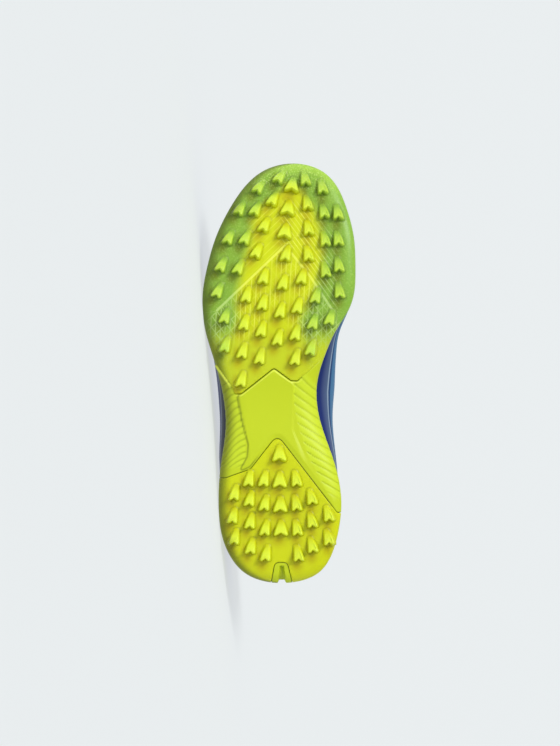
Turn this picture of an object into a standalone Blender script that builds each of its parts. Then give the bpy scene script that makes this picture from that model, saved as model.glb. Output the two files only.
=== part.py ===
"""Right football shoe for artificial turf, built from separate pieces and lying on its lateral side.

Every piece is modelled in the shoe's own frame: +X from heel to toe, +Y to the medial side, +Z up, with the
lug tips of heel and ball on z = 0. At the end the whole shoe is laid on the side that it rests on: sole
facing -Y, toe towards -X, medial side up, its lowest points on z = 0.
"""

import math
from collections import namedtuple

import bmesh
import bpy
import numpy as np
from mathutils import Matrix, Vector
from mathutils.bvhtree import BVHTree

MM = 0.001

# Driving sizes of the shoe
LENGTH = 288 * MM
BALL_WIDTH = 104.5 * MM
INSTEP_HEIGHT = 98 * MM
LUG_HEIGHT = 5.5 * MM
TOE_SPRING = 15 * MM
HEEL_BEVEL = 3 * MM
ARCH_RISE = 4 * MM
RUBBER = 2.0 * MM
GAP = 0.3 * MM
BRIDGE_ROOT = 1.5 * MM
POCKET_OVERCUT = 3.0 * MM
BRIDGE_PROUD = 0.8 * MM
RIM_LIP = 3.0 * MM
SIDE_BAND = 4.5 * MM
RIM_WALL = 2.4 * MM
UPPER_WALL = 1.8 * MM
COLLAR_WALL = 3.6 * MM
EYESTAY_STEP = 0.8 * MM
INSOLE_THICKNESS = 3.5 * MM
INSOLE_LIP = 1.0 * MM
INSOLE_EDGE = 6.0 * MM
TONGUE_THICKNESS = 4.5 * MM
TONGUE_WIDTH = 58 * MM
TONGUE_GAP = 0.6 * MM
TONGUE_SEAT = 2.2 * MM
TONGUE_CROWN = 7.0 * MM
LACE_WIDTH = 6.0 * MM
LACE_THICKNESS = 1.5 * MM
LACE_LIFT = 0.6 * MM
LACE_STAGGER = 0.25 * MM
LACE_START = 1.0 * MM
LACE_END = 2.2 * MM
RIB_DEPTH = 0.9 * MM
RIB_WIDTH = 2.4 * MM
RIB_OVERCUT = 0.6 * MM
RIB_REACH = 0.97
LUG_ROOT = 1.2 * MM
LUG_DRAFT = 1.0 * MM
FLOOR_FLAT = 0.35 * MM
CUT_LOW = -20 * MM
CUT_HIGH = 60 * MM
# The tongue's ends in shares of the length, how it runs beyond the throat (height per length), how much narrower
# its front and its rounded end are, and how much thinner its edges
TONGUE_FRONT = 0.72
TONGUE_BACK = 0.345
TONGUE_RISE = 0.55
TONGUE_FALL = 0.30
TONGUE_NARROW = 0.30
TONGUE_ROUND = 0.25
TONGUE_THINNER = 0.45

# Fineness of the meshes
SIDE_STEPS = 30
CAP_COLUMNS = 3
CORNER_STEPS = 2
LACE_STEPS = 6
RIB_STATIONS = 3
WELD = 0.02 * MM


def table(columns, *rows):
    """Rows with named columns."""
    row = namedtuple("Row", columns)
    return [row(*r) for r in rows]


# The sole's outline: share of the length from the heel, and each side's share of the ball width from the axis
OUTLINE = table(
    "share lateral medial",
    (1.000, 0.086, 0.086),
    (0.983, -0.105, 0.270),
    (0.936, -0.250, 0.388),
    (0.888, -0.336, 0.441),
    (0.816, -0.428, 0.487),
    (0.745, -0.482, 0.495),
    (0.697, -0.505, 0.489),
    (0.650, -0.507, 0.450),
    (0.600, -0.489, 0.366),
    (0.554, -0.453, 0.308),
    (0.483, -0.395, 0.247),
    (0.420, -0.363, 0.246),
    (0.387, -0.356, 0.264),
    (0.316, -0.374, 0.330),
    (0.268, -0.393, 0.372),
    (0.197, -0.403, 0.402),
    (0.125, -0.388, 0.384),
    (0.054, -0.309, 0.320),
    (0.018, -0.204, 0.226),
    (0.000, 0.010, 0.010),
)

# How the sole is made along its length. thick: tread base to feather line, roll and rise: the round of its
# lower edge, in and up, taper: how far the side leans in to the rim. All are shares of the ball width.
SOLE = table(
    "share thick roll rise taper",
    (0.00, 0.170, 0.075, 0.055, 0.034),
    (0.10, 0.172, 0.085, 0.055, 0.036),
    (0.22, 0.168, 0.095, 0.060, 0.032),
    (0.36, 0.150, 0.140, 0.082, 0.012),
    (0.48, 0.128, 0.130, 0.078, 0.008),
    (0.62, 0.100, 0.095, 0.050, 0.012),
    (0.75, 0.086, 0.085, 0.042, 0.016),
    (0.90, 0.084, 0.085, 0.042, 0.018),
    (1.00, 0.086, 0.080, 0.044, 0.018),
)

# The upper's sections, by the share of the way round from toe tip (0) to heel back (1).
# edge: the throat and collar line (x: share of length, y: share of ball width to each side of shift, z: share
# of instep height). out: the widest line beyond the sole's outline, and up: its height over the rim.
# lift, reach, drop: how full the section is over the widest line and below the edge.
UPPER = table(
    "around edge_x edge_y edge_z shift out_medial out_lateral up lift reach drop",
    (0.00, 0.665, 0.000, 0.612, 0.045, -0.015, -0.015, 0.10, 0.19, 0.43, 0.105),
    (0.06, 0.662, 0.050, 0.614, 0.044, -0.015, -0.016, 0.10, 0.19, 0.38, 0.110),
    (0.13, 0.650, 0.090, 0.628, 0.042, -0.015, -0.019, 0.11, 0.20, 0.30, 0.120),
    (0.22, 0.620, 0.120, 0.665, 0.036, -0.014, -0.024, 0.12, 0.21, 0.21, 0.120),
    (0.32, 0.575, 0.142, 0.738, 0.028, -0.010, -0.030, 0.13, 0.23, 0.16, 0.110),
    (0.42, 0.518, 0.165, 0.830, 0.018, 0.035, -0.020, 0.18, 0.25, 0.14, 0.110),
    (0.52, 0.455, 0.197, 0.935, 0.008, 0.118, 0.022, 0.24, 0.25, 0.12, 0.130),
    (0.60, 0.402, 0.240, 0.995, 0.000, 0.086, 0.042, 0.26, 0.23, 0.07, 0.170),
    (0.68, 0.335, 0.292, 0.868, 0.000, 0.022, 0.020, 0.25, 0.18, 0.01, 0.150),
    (0.77, 0.232, 0.318, 0.730, 0.000, -0.020, -0.022, 0.20, 0.12, 0.00, 0.110),
    (0.86, 0.128, 0.280, 0.765, 0.000, -0.030, -0.030, 0.20, 0.12, 0.00, 0.130),
    (0.94, 0.050, 0.168, 0.885, 0.000, -0.034, -0.034, 0.20, 0.14, 0.00, 0.170),
    (1.00, 0.030, 0.000, 0.940, 0.000, -0.034, -0.034, 0.22, 0.16, 0.01, 0.200),
)

# Borders in the sole's plan, from lateral to medial: share of the length, and shares of the ball width for the
# place across and the corner's radius
FOREFOOT_BORDER = table(
    "share across radius",
    (0.540, -0.540, 0.000),
    (0.519, -0.414, 0.038),
    (0.472, -0.322, 0.048),
    (0.446, -0.304, 0.014),
    (0.447, -0.262, 0.029),
    (0.513, -0.040, 0.029),
    (0.483, 0.072, 0.033),
    (0.482, 0.112, 0.019),
    (0.538, 0.296, 0.048),
    (0.610, 0.520, 0.000),
)
HEEL_BORDER = table(
    "share across radius",
    (0.250, -0.520, 0.000),
    (0.250, -0.355, 0.038),
    (0.271, -0.192, 0.067),
    (0.352, -0.018, 0.048),
    (0.168, 0.372, 0.019),
    (0.163, 0.520, 0.000),
)
HEEL_NOTCH = table(
    "share across radius",
    (-0.030, -0.076, 0.000),
    (0.051, -0.036, 0.038),
    (0.051, 0.050, 0.038),
    (-0.030, 0.104, 0.000),
)
# The smooth panel that stands proud between the two ribbed flanks
BRIDGE_PANEL = table(
    "share across radius",
    (0.442, -0.262, 0.024),
    (0.506, -0.040, 0.029),
    (0.478, 0.074, 0.029),
    (0.472, 0.094, 0.010),
    (0.364, 0.086, 0.057),
    (0.300, 0.160, 0.077),
    (0.205, 0.340, 0.019),
    (0.190, 0.360, 0.019),
    (0.360, -0.018, 0.057),
    (0.278, -0.200, 0.057),
    (0.268, -0.262, 0.019),
    (0.300, -0.212, 0.038),
    (0.330, -0.206, 0.048),
    (0.385, -0.246, 0.057),
)

# Rows of lugs: start, middle and end of each row (shares of length and ball width), how many, the lean of the
# lugs in degrees towards the medial side, and their form
LUG_ROWS = table(
    "form count lean x0 y0 x1 y1 x2 y2",
    ("side", 2, 22, 0.965, -0.007, 0.953, -0.075, 0.941, -0.144),
    ("side", 4, 17, 0.889, -0.269, 0.788, -0.368, 0.695, -0.412),
    ("side", 3, 17, 0.888, -0.165, 0.820, -0.232, 0.750, -0.276),
    ("side", 3, 16, 0.912, -0.053, 0.850, -0.108, 0.788, -0.158),
    ("arrow", 3, 8, 0.945, 0.079, 0.890, 0.052, 0.835, 0.033),
    ("side_flip", 4, -2, 0.960, 0.171, 0.872, 0.190, 0.781, 0.190),
    ("side_flip", 4, -4, 0.940, 0.283, 0.850, 0.298, 0.743, 0.303),
    ("side_flip", 4, -2, 0.879, 0.384, 0.786, 0.388, 0.694, 0.394),
    ("side", 2, 10, 0.634, -0.365, 0.600, -0.362, 0.566, -0.362),
    ("side", 4, 7, 0.684, -0.224, 0.585, -0.245, 0.484, -0.258),
    ("side", 4, 6, 0.727, -0.112, 0.634, -0.122, 0.538, -0.136),
    ("side", 4, 6, 0.781, 0.033, 0.680, 0.006, 0.582, -0.018),
    ("side", 4, 6, 0.727, 0.138, 0.625, 0.102, 0.536, 0.097),
    ("side", 3, 8, 0.682, 0.230, 0.620, 0.212, 0.559, 0.197),
    ("side", 1, 8, 0.630, 0.322, 0.630, 0.322, 0.630, 0.322),
    ("arrow", 4, 0, 0.306, -0.004, 0.215, 0.000, 0.130, 0.006),
    ("side", 4, 3, 0.247, -0.110, 0.160, -0.104, 0.070, -0.098),
    ("side", 4, 3, 0.247, -0.208, 0.174, -0.202, 0.087, -0.196),
    ("side", 3, 4, 0.214, -0.302, 0.159, -0.314, 0.109, -0.302),
    ("side_flip", 4, -3, 0.247, 0.112, 0.160, 0.114, 0.070, 0.125),
    ("side_flip", 3, -6, 0.204, 0.212, 0.149, 0.214, 0.090, 0.217),
    ("side_flip", 2, -6, 0.164, 0.322, 0.136, 0.322, 0.108, 0.322),
)
LUG_LENGTH = 10.8 * MM
LUG_WIDTH = 7.6 * MM
ARROW_WIDTH = 10.5 * MM
# Outlines of a lug's tip, in shares of its length (forward) and width (to the medial side)
LUG_FORMS = {
    "side": [(0.50, 0.30), (-0.48, 0.50), (-0.34, 0.10), (-0.46, -0.50), (0.05, -0.20)],
    "arrow": [(0.50, 0.00), (-0.50, 0.50), (-0.30, 0.00), (-0.50, -0.50)],
}

# Ribs of the two flanks of the waist: first and last share of the length at the inner end, count, how far in
# from the edge they start and how far they slant back per length outwards
RIBS = table(
    "side first last count inset slant",
    (1, 0.470, 0.320, 8, 0.150, 0.75),
    (-1, 0.455, 0.295, 10, 0.120, 0.70),
)

EYELET_ROWS = 6
EYELET_FIRST = 0.20
EYELET_LAST = 0.565
EYELET_BACK = 8.0 * MM


def clamp(value, low=0.0, high=1.0):
    return max(low, min(high, value))


def cubic_spline(knots, values, period=None):
    """A smooth curve through the values: natural at its ends, or closed if it has a period."""
    knots = np.array(knots, float)
    values = np.array(values, float)
    if period:
        knots = np.append(knots, knots[0] + period)
        values = np.append(values, values[0])
    step = np.diff(knots)
    count = len(knots)
    matrix = np.zeros((count, count))
    right = np.zeros(count)
    slope = np.diff(values) / step
    for i in range(1, count - 1):
        matrix[i, i - 1 : i + 2] = step[i - 1], 2 * (step[i - 1] + step[i]), step[i]
        right[i] = 6 * (slope[i] - slope[i - 1])
    if period:
        matrix[0, 0], matrix[0, -1] = 1, -1
        matrix[-1, 0], matrix[-1, 1] = 2 * step[0], step[0]
        matrix[-1, -2], matrix[-1, -1] = step[-1], 2 * step[-1]
        right[-1] = 6 * (slope[0] - slope[-1])
    else:
        matrix[0, 0] = matrix[-1, -1] = 1
    bend = np.linalg.solve(matrix, right)

    def at(x):
        if period:
            x = (x - knots[0]) % period + knots[0]
        i = int(clamp(np.searchsorted(knots, x) - 1, 0, count - 2))
        h = step[i]
        a = (knots[i + 1] - x) / h
        b = (x - knots[i]) / h
        curved = ((a**3 - a) * bend[i] + (b**3 - b) * bend[i + 1]) * h * h / 6
        return float(a * values[i] + b * values[i + 1] + curved)

    return at


def column(rows, key, name):
    """A table's column as a smooth function of its key column."""
    ordered = sorted(rows, key=lambda r: getattr(r, key))
    return cubic_spline([getattr(r, key) for r in ordered], [getattr(r, name) for r in ordered])


thick_at = column(SOLE, "share", "thick")
roll_at = column(SOLE, "share", "roll")
rise_at = column(SOLE, "share", "rise")
taper_at = column(SOLE, "share", "taper")


def outline_points(steps):
    """The sole's outline as 2 * steps points: toe tip, medial side, heel back, lateral side."""
    angles = [math.acos(clamp(2 * r.share - 1, -1, 1)) for r in OUTLINE]
    knots = [-a for a in reversed(angles[1:])] + angles[:-1]
    across = [r.lateral for r in reversed(OUTLINE[1:])] + [r.medial for r in OUTLINE[:-1]]
    y_at = cubic_spline(knots, across, 2 * math.pi)

    def point(angle):
        return Vector((LENGTH * (1 + math.cos(angle)) / 2, BALL_WIDTH * y_at(angle), 0))

    fine = 720
    side = []
    for start, end in ((0, math.pi), (math.pi, 2 * math.pi)):
        dense = [point(start + (end - start) * i / fine) for i in range(fine + 1)]
        run = [0.0]
        for a, b in zip(dense, dense[1:]):
            run.append(run[-1] + (b - a).length)
        wanted = np.linspace(0, run[-1], steps + 1)[:-1]
        xs = np.interp(wanted, run, [p.x for p in dense])
        ys = np.interp(wanted, run, [p.y for p in dense])
        side += [Vector((x, y, 0)) for x, y in zip(xs, ys)]
    return side


OUTLINE_RING = outline_points(SIDE_STEPS)
RING = len(OUTLINE_RING)


def outward_normals(ring):
    found = []
    for i in range(len(ring)):
        run = ring[(i + 1) % len(ring)] - ring[i - 1]
        found.append(Vector((run.y, -run.x, 0)).normalized())
    return found


NORMALS = outward_normals(OUTLINE_RING)
AROUND = [min(i, RING - i) / SIDE_STEPS for i in range(RING)]
IS_MEDIAL = [i <= SIDE_STEPS for i in range(RING)]


def share_of(x):
    return clamp(x / LENGTH)


def tread_base(x, y):
    """Height of the rubber's outer face between the lugs."""
    s = share_of(x)
    toe = max(0.0, (s - 0.68) / 0.32)
    heel = max(0.0, (0.09 - s) / 0.09)
    waist = math.sin(math.pi * clamp((s - 0.27) / 0.33)) ** 2
    medial = clamp(0.5 + y / (0.7 * BALL_WIDTH))
    return LUG_HEIGHT + TOE_SPRING * toe**1.9 + HEEL_BEVEL * heel**2 + ARCH_RISE * waist * (0.4 + 0.6 * medial)


def feather(x):
    """Height of the line where the foot stands."""
    return tread_base(x, 0) + BALL_WIDTH * thick_at(share_of(x))


def lower_ring(turn, depth):
    """A ring on the rounded lower edge of the sole: turn from 0, flat, to 90 degrees, upright."""
    turn = math.radians(turn)
    ring = []
    for p, n in zip(OUTLINE_RING, NORMALS):
        s = share_of(p.x)
        roll, rise = BALL_WIDTH * roll_at(s), BALL_WIDTH * rise_at(s)
        q = p - n * (roll * (1 - math.sin(turn)))
        q.z = tread_base(q.x, q.y) + rise * (1 - math.cos(turn)) + depth * math.cos(turn)
        q -= n * (depth * math.sin(turn))
        ring.append(q)
    return ring


def lower_surface(x, y, inset):
    """A point on the sole's lower surface at a plan position that lies inset from the edge."""
    s = share_of(x)
    roll, rise = BALL_WIDTH * roll_at(s), BALL_WIDTH * rise_at(s)
    sine = clamp(1 - inset / roll)
    return Vector((x, y, tread_base(x, y) + rise * (1 - math.sqrt(1 - sine * sine))))


def upright_ring(inset, height):
    """A ring inside the outline by inset(share) at height(x)."""
    ring = []
    for p, n in zip(OUTLINE_RING, NORMALS):
        q = p - n * inset(share_of(p.x))
        q.z = height(q.x)
        ring.append(q)
    return ring


def rim_inset(extra=0.0):
    return lambda s: BALL_WIDTH * taper_at(s) + extra


def make_object(name, verts, faces, colour=None, roughness=0.5):
    mesh = bpy.data.meshes.new(name)
    mesh.from_pydata([tuple(v) for v in verts], [], faces)
    work = bmesh.new()
    work.from_mesh(mesh)
    bmesh.ops.remove_doubles(work, verts=work.verts, dist=WELD)
    bmesh.ops.triangulate(work, faces=work.faces)
    bmesh.ops.recalc_face_normals(work, faces=work.faces)
    if work.calc_volume(signed=True) < 0:
        bmesh.ops.reverse_faces(work, faces=work.faces)
    work.to_mesh(mesh)
    work.free()
    made = bpy.data.objects.new(name, mesh)
    bpy.context.scene.collection.objects.link(made)
    if colour:
        paint(made, colour, roughness)
    return made


def paint(made, colour, roughness):
    material = bpy.data.materials.new(made.name)
    material.use_nodes = True
    shader = material.node_tree.nodes["Principled BSDF"]
    shader.inputs["Base Color"].default_value = (*colour, 1)
    shader.inputs["Roughness"].default_value = roughness
    shader.inputs["Metallic"].default_value = 0.0
    made.data.materials.clear()
    made.data.materials.append(material)


def cap_faces(first, verts, height):
    """Fills a ring with rows of faces from its medial to its lateral side."""
    rows = [[first]]
    for i in range(1, SIDE_STEPS):
        a, b = verts[first + i], verts[first + RING - i]
        row = [first + i]
        for k in range(1, CAP_COLUMNS):
            q = a.lerp(b, k / CAP_COLUMNS)
            q.z = height(q.x, q.y)
            row.append(len(verts))
            verts.append(q)
        row.append(first + RING - i)
        rows.append(row)
    rows.append([first + SIDE_STEPS])
    faces = []
    for a, b in zip(rows, rows[1:]):
        if len(a) == 1:
            faces += [(a[0], b[k], b[k + 1]) for k in range(len(b) - 1)]
        elif len(b) == 1:
            faces += [(a[k], b[0], a[k + 1]) for k in range(len(a) - 1)]
        else:
            faces += [(a[k], b[k], b[k + 1], a[k + 1]) for k in range(len(a) - 1)]
    return faces


def ring_solid(name, rings, low_cap, high_cap, **look):
    """A closed solid through rings of equal length, with a filled cap on the first and the last."""
    verts = [v.copy() for ring in rings for v in ring]
    faces = []
    for r in range(len(rings) - 1):
        for i in range(RING):
            j = (i + 1) % RING
            faces.append((r * RING + i, r * RING + j, (r + 1) * RING + j, (r + 1) * RING + i))
    for first, height in ((0, low_cap), ((len(rings) - 1) * RING, high_cap)):
        faces += cap_faces(first, verts, height)
    return make_object(name, verts, faces, **look)


def rounded(rows):
    """A border's points in plan, with its corners rounded."""
    points = [(Vector((r.share * LENGTH, r.across * BALL_WIDTH)), r.radius * BALL_WIDTH) for r in rows]
    path = []
    for i, (p, radius) in enumerate(points):
        if radius == 0:
            path.append(p)
            continue
        before = (points[i - 1][0] - p).normalized()
        after = (points[(i + 1) % len(points)][0] - p).normalized()
        half = before.angle(after) / 2
        reach = radius / math.tan(half)
        nearest = min((points[i - 1][0] - p).length, (points[(i + 1) % len(points)][0] - p).length)
        reach = min(reach, 0.45 * nearest)
        a, b = p + before * reach, p + after * reach
        for k in range(CORNER_STEPS + 1):
            t = k / CORNER_STEPS
            path.append(a * (1 - t) ** 2 + p * 2 * t * (1 - t) + b * t * t)
    return path


def grown(path, by):
    """A plan border moved by a distance to its left."""
    moved = []
    for i, p in enumerate(path):
        a = path[max(0, i - 1)]
        b = path[min(len(path) - 1, i + 1)]
        run = (b - a).normalized()
        moved.append(p + Vector((-run.y, run.x)) * by)
    return moved


def prism(name, plan):
    """An upright prism over a plan polygon, for cutting."""
    count = len(plan)
    verts = [(p.x, p.y, CUT_LOW) for p in plan] + [(p.x, p.y, CUT_HIGH) for p in plan]
    faces = [tuple(range(count)), tuple(range(count, 2 * count))]
    faces += [(i, (i + 1) % count, count + (i + 1) % count, count + i) for i in range(count)]
    return make_object(name, verts, faces)


def combine(target, operation, other):
    """Applies a Boolean of other to target, and removes other."""
    modifier = target.modifiers.new(operation, "BOOLEAN")
    modifier.operation = operation
    modifier.solver = "EXACT"
    modifier.object = other
    graph = bpy.context.evaluated_depsgraph_get()
    mesh = bpy.data.meshes.new_from_object(target.evaluated_get(graph))
    target.modifiers.clear()
    materials = list(target.data.materials)
    work = bmesh.new()
    work.from_mesh(mesh)
    bmesh.ops.remove_doubles(work, verts=work.verts, dist=WELD)
    bmesh.ops.dissolve_degenerate(work, edges=work.edges, dist=WELD)
    work.to_mesh(mesh)
    work.free()
    target.data = mesh
    target.data.materials.clear()
    for material in materials:
        target.data.materials.append(material)
    bpy.data.objects.remove(other)
    return target


def sole_sheet(name, outer, inner, top=0.0):
    """A sheet that follows the sole's lower surface and wraps up its edge, between two depths."""
    turns = (0, 35, 65, 90)
    rings = [lower_ring(t, inner) for t in turns]
    last = [v.copy() for v in rings[-1]]
    first = lower_ring(90, outer)
    if top:
        for v in last + first:
            v.z += top
        rings.append(last)
        rings.append(first)
    rings += [lower_ring(t, outer) for t in reversed(turns)]
    return ring_solid(
        name,
        rings,
        lambda x, y: tread_base(x, y) + inner,
        lambda x, y: tread_base(x, y) + outer,
    )


def forefoot_plan(by=0.0):
    ahead = 1.2 * LENGTH
    border = grown(rounded(FOREFOOT_BORDER), by)
    return border + [Vector((ahead, BALL_WIDTH)), Vector((ahead, -BALL_WIDTH))]


def heel_plan(by=0.0):
    behind = -0.2 * LENGTH
    border = grown(rounded(HEEL_BORDER), -by)
    return border + [Vector((behind, BALL_WIDTH)), Vector((behind, -BALL_WIDTH))]


def notch_plan(by=0.0):
    return grown(rounded(HEEL_NOTCH), by)


def lug_verts(form, centre, lean, length, width):
    """Tip and root outlines of one lug, in plan and height."""
    outline = LUG_FORMS[form.replace("_flip", "")]
    turn = Matrix.Rotation(math.radians(lean), 2)
    flip = -1 if form.endswith("_flip") else 1
    tip, root = [], []
    spread = LUG_DRAFT * (LUG_HEIGHT + LUG_ROOT) / LUG_HEIGHT
    for u, v in outline:
        local = Vector((u * length, v * width * flip))
        for ring, grow, height in ((tip, 0.0, -LUG_HEIGHT), (root, spread, LUG_ROOT)):
            moved = local + local.normalized() * grow
            q = centre + turn @ moved
            ring.append(Vector((q.x, q.y, tread_base(q.x, q.y) + height)))
    return tip, root


def add_lugs(sheet, rows):
    """Fuses the rows of lugs with a rubber sheet."""
    for row in rows:
        verts, faces = [], []
        width = ARROW_WIDTH if row.form == "arrow" else LUG_WIDTH
        for k in range(row.count):
            t = k / max(1, row.count - 1)
            weights = ((1 - t) * (1 - 2 * t), 4 * t * (1 - t), t * (2 * t - 1))
            x = LENGTH * (weights[0] * row.x0 + weights[1] * row.x1 + weights[2] * row.x2)
            y = BALL_WIDTH * (weights[0] * row.y0 + weights[1] * row.y1 + weights[2] * row.y2)
            tip, root = lug_verts(row.form, Vector((x, y)), row.lean, LUG_LENGTH, width)
            first, count = len(verts), len(tip)
            verts += tip + root
            faces.append(tuple(range(first, first + count)))
            faces.append(tuple(range(first + count, first + 2 * count)))
            for i in range(count):
                j = (i + 1) % count
                faces.append((first + i, first + j, first + count + j, first + count + i))
        combine(sheet, "UNION", make_object("lugs", verts, faces))


def build_outsole():
    """The two rubber treads, forefoot and heel."""
    forefoot = sole_sheet("outsole_forefoot", 0.0, RUBBER)
    combine(forefoot, "INTERSECT", prism("cutter", forefoot_plan()))
    add_lugs(forefoot, [r for r in LUG_ROWS if min(r.x0, r.x2) > 0.4])
    paint(forefoot, (0.55, 0.75, 0.03), 0.35)
    heel = sole_sheet("outsole_heel", 0.0, RUBBER)
    combine(heel, "INTERSECT", prism("cutter", heel_plan()))
    combine(heel, "DIFFERENCE", prism("cutter", notch_plan()))
    add_lugs(heel, [r for r in LUG_ROWS if max(r.x0, r.x2) < 0.4])
    paint(heel, (0.62, 0.68, 0.01), 0.35)
    return forefoot, heel


def rib_cutters():
    """Thin wedges that cut the ribs of the waist's flanks."""
    verts, faces = [], []
    for row in RIBS:
        on_side = [p for p, medial in zip(OUTLINE_RING, IS_MEDIAL) if medial == (row.side > 0)]
        edge_line = sorted((p.x, p.y) for p in on_side)
        start = row.inset * BALL_WIDTH
        for k in range(row.count):
            share = row.first + (row.last - row.first) * k / (row.count - 1)
            first = len(verts)
            for i in range(RIB_STATIONS + 1):
                t = i / RIB_STATIONS
                inset = start * (1 - RIB_REACH * t)
                x = share * LENGTH - row.slant * (start - inset)
                edge = np.interp(x, *zip(*edge_line))
                p = lower_surface(x, edge - row.side * inset, inset)
                out = Vector((0, row.side * t, -1)).normalized()
                depth = RIB_DEPTH * (0.2 if i == 0 else 1.0)
                half = Vector((RIB_WIDTH / 2, 0, 0))
                verts += [p - out * depth, p + half + out * RIB_OVERCUT, p - half + out * RIB_OVERCUT]
            for i in range(RIB_STATIONS):
                for a in range(3):
                    b = (a + 1) % 3
                    low, high = first + 3 * i, first + 3 * i + 3
                    faces.append((low + a, low + b, high + b, high + a))
            last = first + 3 * RIB_STATIONS
            faces += [(first, first + 1, first + 2), (last, last + 1, last + 2)]
    return make_object("rib_cutters", verts, faces)


def build_midsole():
    """The foam midsole: rounded lower edge, side wall, rim, footbed, and the bridge between the treads."""
    turns = (0, 35, 65, 90)
    rings = [lower_ring(t, 0.0) for t in turns]
    rings.append([v + Vector((0, 0, SIDE_BAND)) for v in rings[-1]])
    lip = lambda x: feather(x) + RIM_LIP
    rings.append(upright_ring(rim_inset(), lip))
    rings.append(upright_ring(rim_inset(RIM_WALL), lip))
    rings.append(upright_ring(rim_inset(RIM_WALL), feather))
    midsole = ring_solid("midsole", rings, tread_base, lambda x, y: feather(x))
    pocket = sole_sheet("pocket", -POCKET_OVERCUT, RUBBER + GAP, GAP)
    combine(pocket, "INTERSECT", prism("cutter", forefoot_plan(GAP)))
    combine(midsole, "DIFFERENCE", pocket)
    pocket = sole_sheet("pocket", -POCKET_OVERCUT, RUBBER + GAP, GAP)
    combine(pocket, "INTERSECT", prism("cutter", heel_plan(GAP)))
    combine(pocket, "DIFFERENCE", prism("cutter", notch_plan(GAP)))
    combine(midsole, "DIFFERENCE", pocket)
    combine(midsole, "DIFFERENCE", rib_cutters())
    panel = sole_sheet("panel", -BRIDGE_PROUD, BRIDGE_ROOT)
    combine(panel, "INTERSECT", prism("cutter", rounded(BRIDGE_PANEL)))
    combine(midsole, "UNION", panel)
    paint(midsole, (0.55, 0.70, 0.03), 0.55)
    return midsole


def bezier(p0, p1, p2, p3, t):
    s = 1 - t
    return p0 * s**3 + p1 * 3 * s * s * t + p2 * 3 * s * t * t + p3 * t**3


def upper_columns():
    names = UPPER[0]._fields[1:]
    return {name: column(UPPER, "around", name) for name in names}


def upper_meridian(i, columns, lower=3, upper=6):
    """The upper's outer line from the feather edge at outline point i up to the throat or collar edge."""
    a = AROUND[i]
    p, n = OUTLINE_RING[i], NORMALS[i]
    at = {name: f(a) for name, f in columns.items()}
    side = 1 if IS_MEDIAL[i] else -1
    foot = p - n * (rim_inset(RIM_WALL + GAP)(share_of(p.x)))
    foot.z = feather(foot.x) + GAP
    stand = foot.copy()
    stand.z = feather(foot.x) + RIM_LIP + 2 * GAP
    out = at["out_medial"] if side > 0 else at["out_lateral"]
    wide = p + n * (out * BALL_WIDTH)
    wide.z = stand.z + at["up"] * INSTEP_HEIGHT
    edge = Vector((
        at["edge_x"] * LENGTH,
        (at["shift"] + side * at["edge_y"]) * BALL_WIDTH,
        at["edge_z"] * INSTEP_HEIGHT,
    ))
    rise = wide.z - stand.z
    up = Vector((0, 0, 1))
    line = [foot]
    line += [bezier(stand, stand + up * rise * 0.35, wide - up * rise * 0.5, wide, k / lower) for k in range(lower)]
    shoulder = wide + up * (at["lift"] * INSTEP_HEIGHT)
    arrival = edge + n * (at["reach"] * BALL_WIDTH) - up * (at["drop"] * INSTEP_HEIGHT)
    line += [bezier(wide, shoulder, arrival, edge, k / upper) for k in range(upper + 1)]
    return line


def grid_normals(grid):
    """Outward normals of a grid of rings, foot to edge."""
    normals = []
    for r in range(len(grid)):
        below, above = grid[max(0, r - 1)], grid[min(len(grid) - 1, r + 1)]
        row = []
        for i in range(RING):
            around = grid[r][(i + 1) % RING] - grid[r][i - 1]
            up = above[i] - below[i]
            row.append(up.cross(around).normalized())
        normals.append(row)
    return normals


def eyestay(a, t):
    """How much of the eyestay's step stands at a place: 1 beside the throat, 0 away from it."""
    beside = clamp((t - 0.80) / 0.06)
    along = clamp((0.60 - a) / 0.05)
    return beside * along


def build_upper():
    """One hollow wall from the feather edge to the throat and collar edge."""
    columns = upper_columns()
    lines = [upper_meridian(i, columns) for i in range(RING)]
    rings = [[line[r] for line in lines] for r in range(len(lines[0]))]
    normals = grid_normals(rings)
    if normals[3][RING // 4].dot(NORMALS[RING // 4]) < 0:
        normals = [[-n for n in row] for row in normals]
    top = len(rings) - 1
    outer, inner = [], []
    for r, row in enumerate(rings):
        share = r / top
        outer_row, inner_row = [], []
        for i, p in enumerate(row):
            n = normals[r][i]
            if r <= 1:
                n = NORMALS[i]
            padded = clamp((AROUND[i] - 0.60) / 0.08) * clamp((share - 0.55) / 0.25)
            wall = UPPER_WALL + (COLLAR_WALL - UPPER_WALL) * padded
            outer_row.append(p + n * EYESTAY_STEP * eyestay(AROUND[i], share))
            inner_row.append(p - n * wall)
        outer.append(outer_row)
        inner.append(inner_row)
    walls = outer + list(reversed(inner))
    verts = [v for row in walls for v in row]
    faces = []
    count = len(walls)
    for r in range(count):
        for i in range(RING):
            j = (i + 1) % RING
            n = (r + 1) % count
            faces.append((r * RING + i, r * RING + j, n * RING + j, n * RING + i))
    return make_object("upper", verts, faces, colour=(0.02, 0.06, 0.35), roughness=0.4)


def build_insole():
    """The sockliner on the footbed, with a raised edge."""
    side = rim_inset(RIM_WALL + 2 * GAP + UPPER_WALL)
    inner = rim_inset(RIM_WALL + 2 * GAP + UPPER_WALL + INSOLE_EDGE)
    bed = lambda x: feather(x) + GAP
    top = lambda x: feather(x) + GAP + INSOLE_THICKNESS
    rings = [
        upright_ring(inner, bed),
        upright_ring(side, bed),
        upright_ring(side, lambda x: top(x) + INSOLE_LIP),
        upright_ring(inner, top),
    ]
    return ring_solid(
        "insole", rings, lambda x, y: bed(x), lambda x, y: top(x), colour=(0.05, 0.06, 0.09), roughness=0.85
    )


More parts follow.
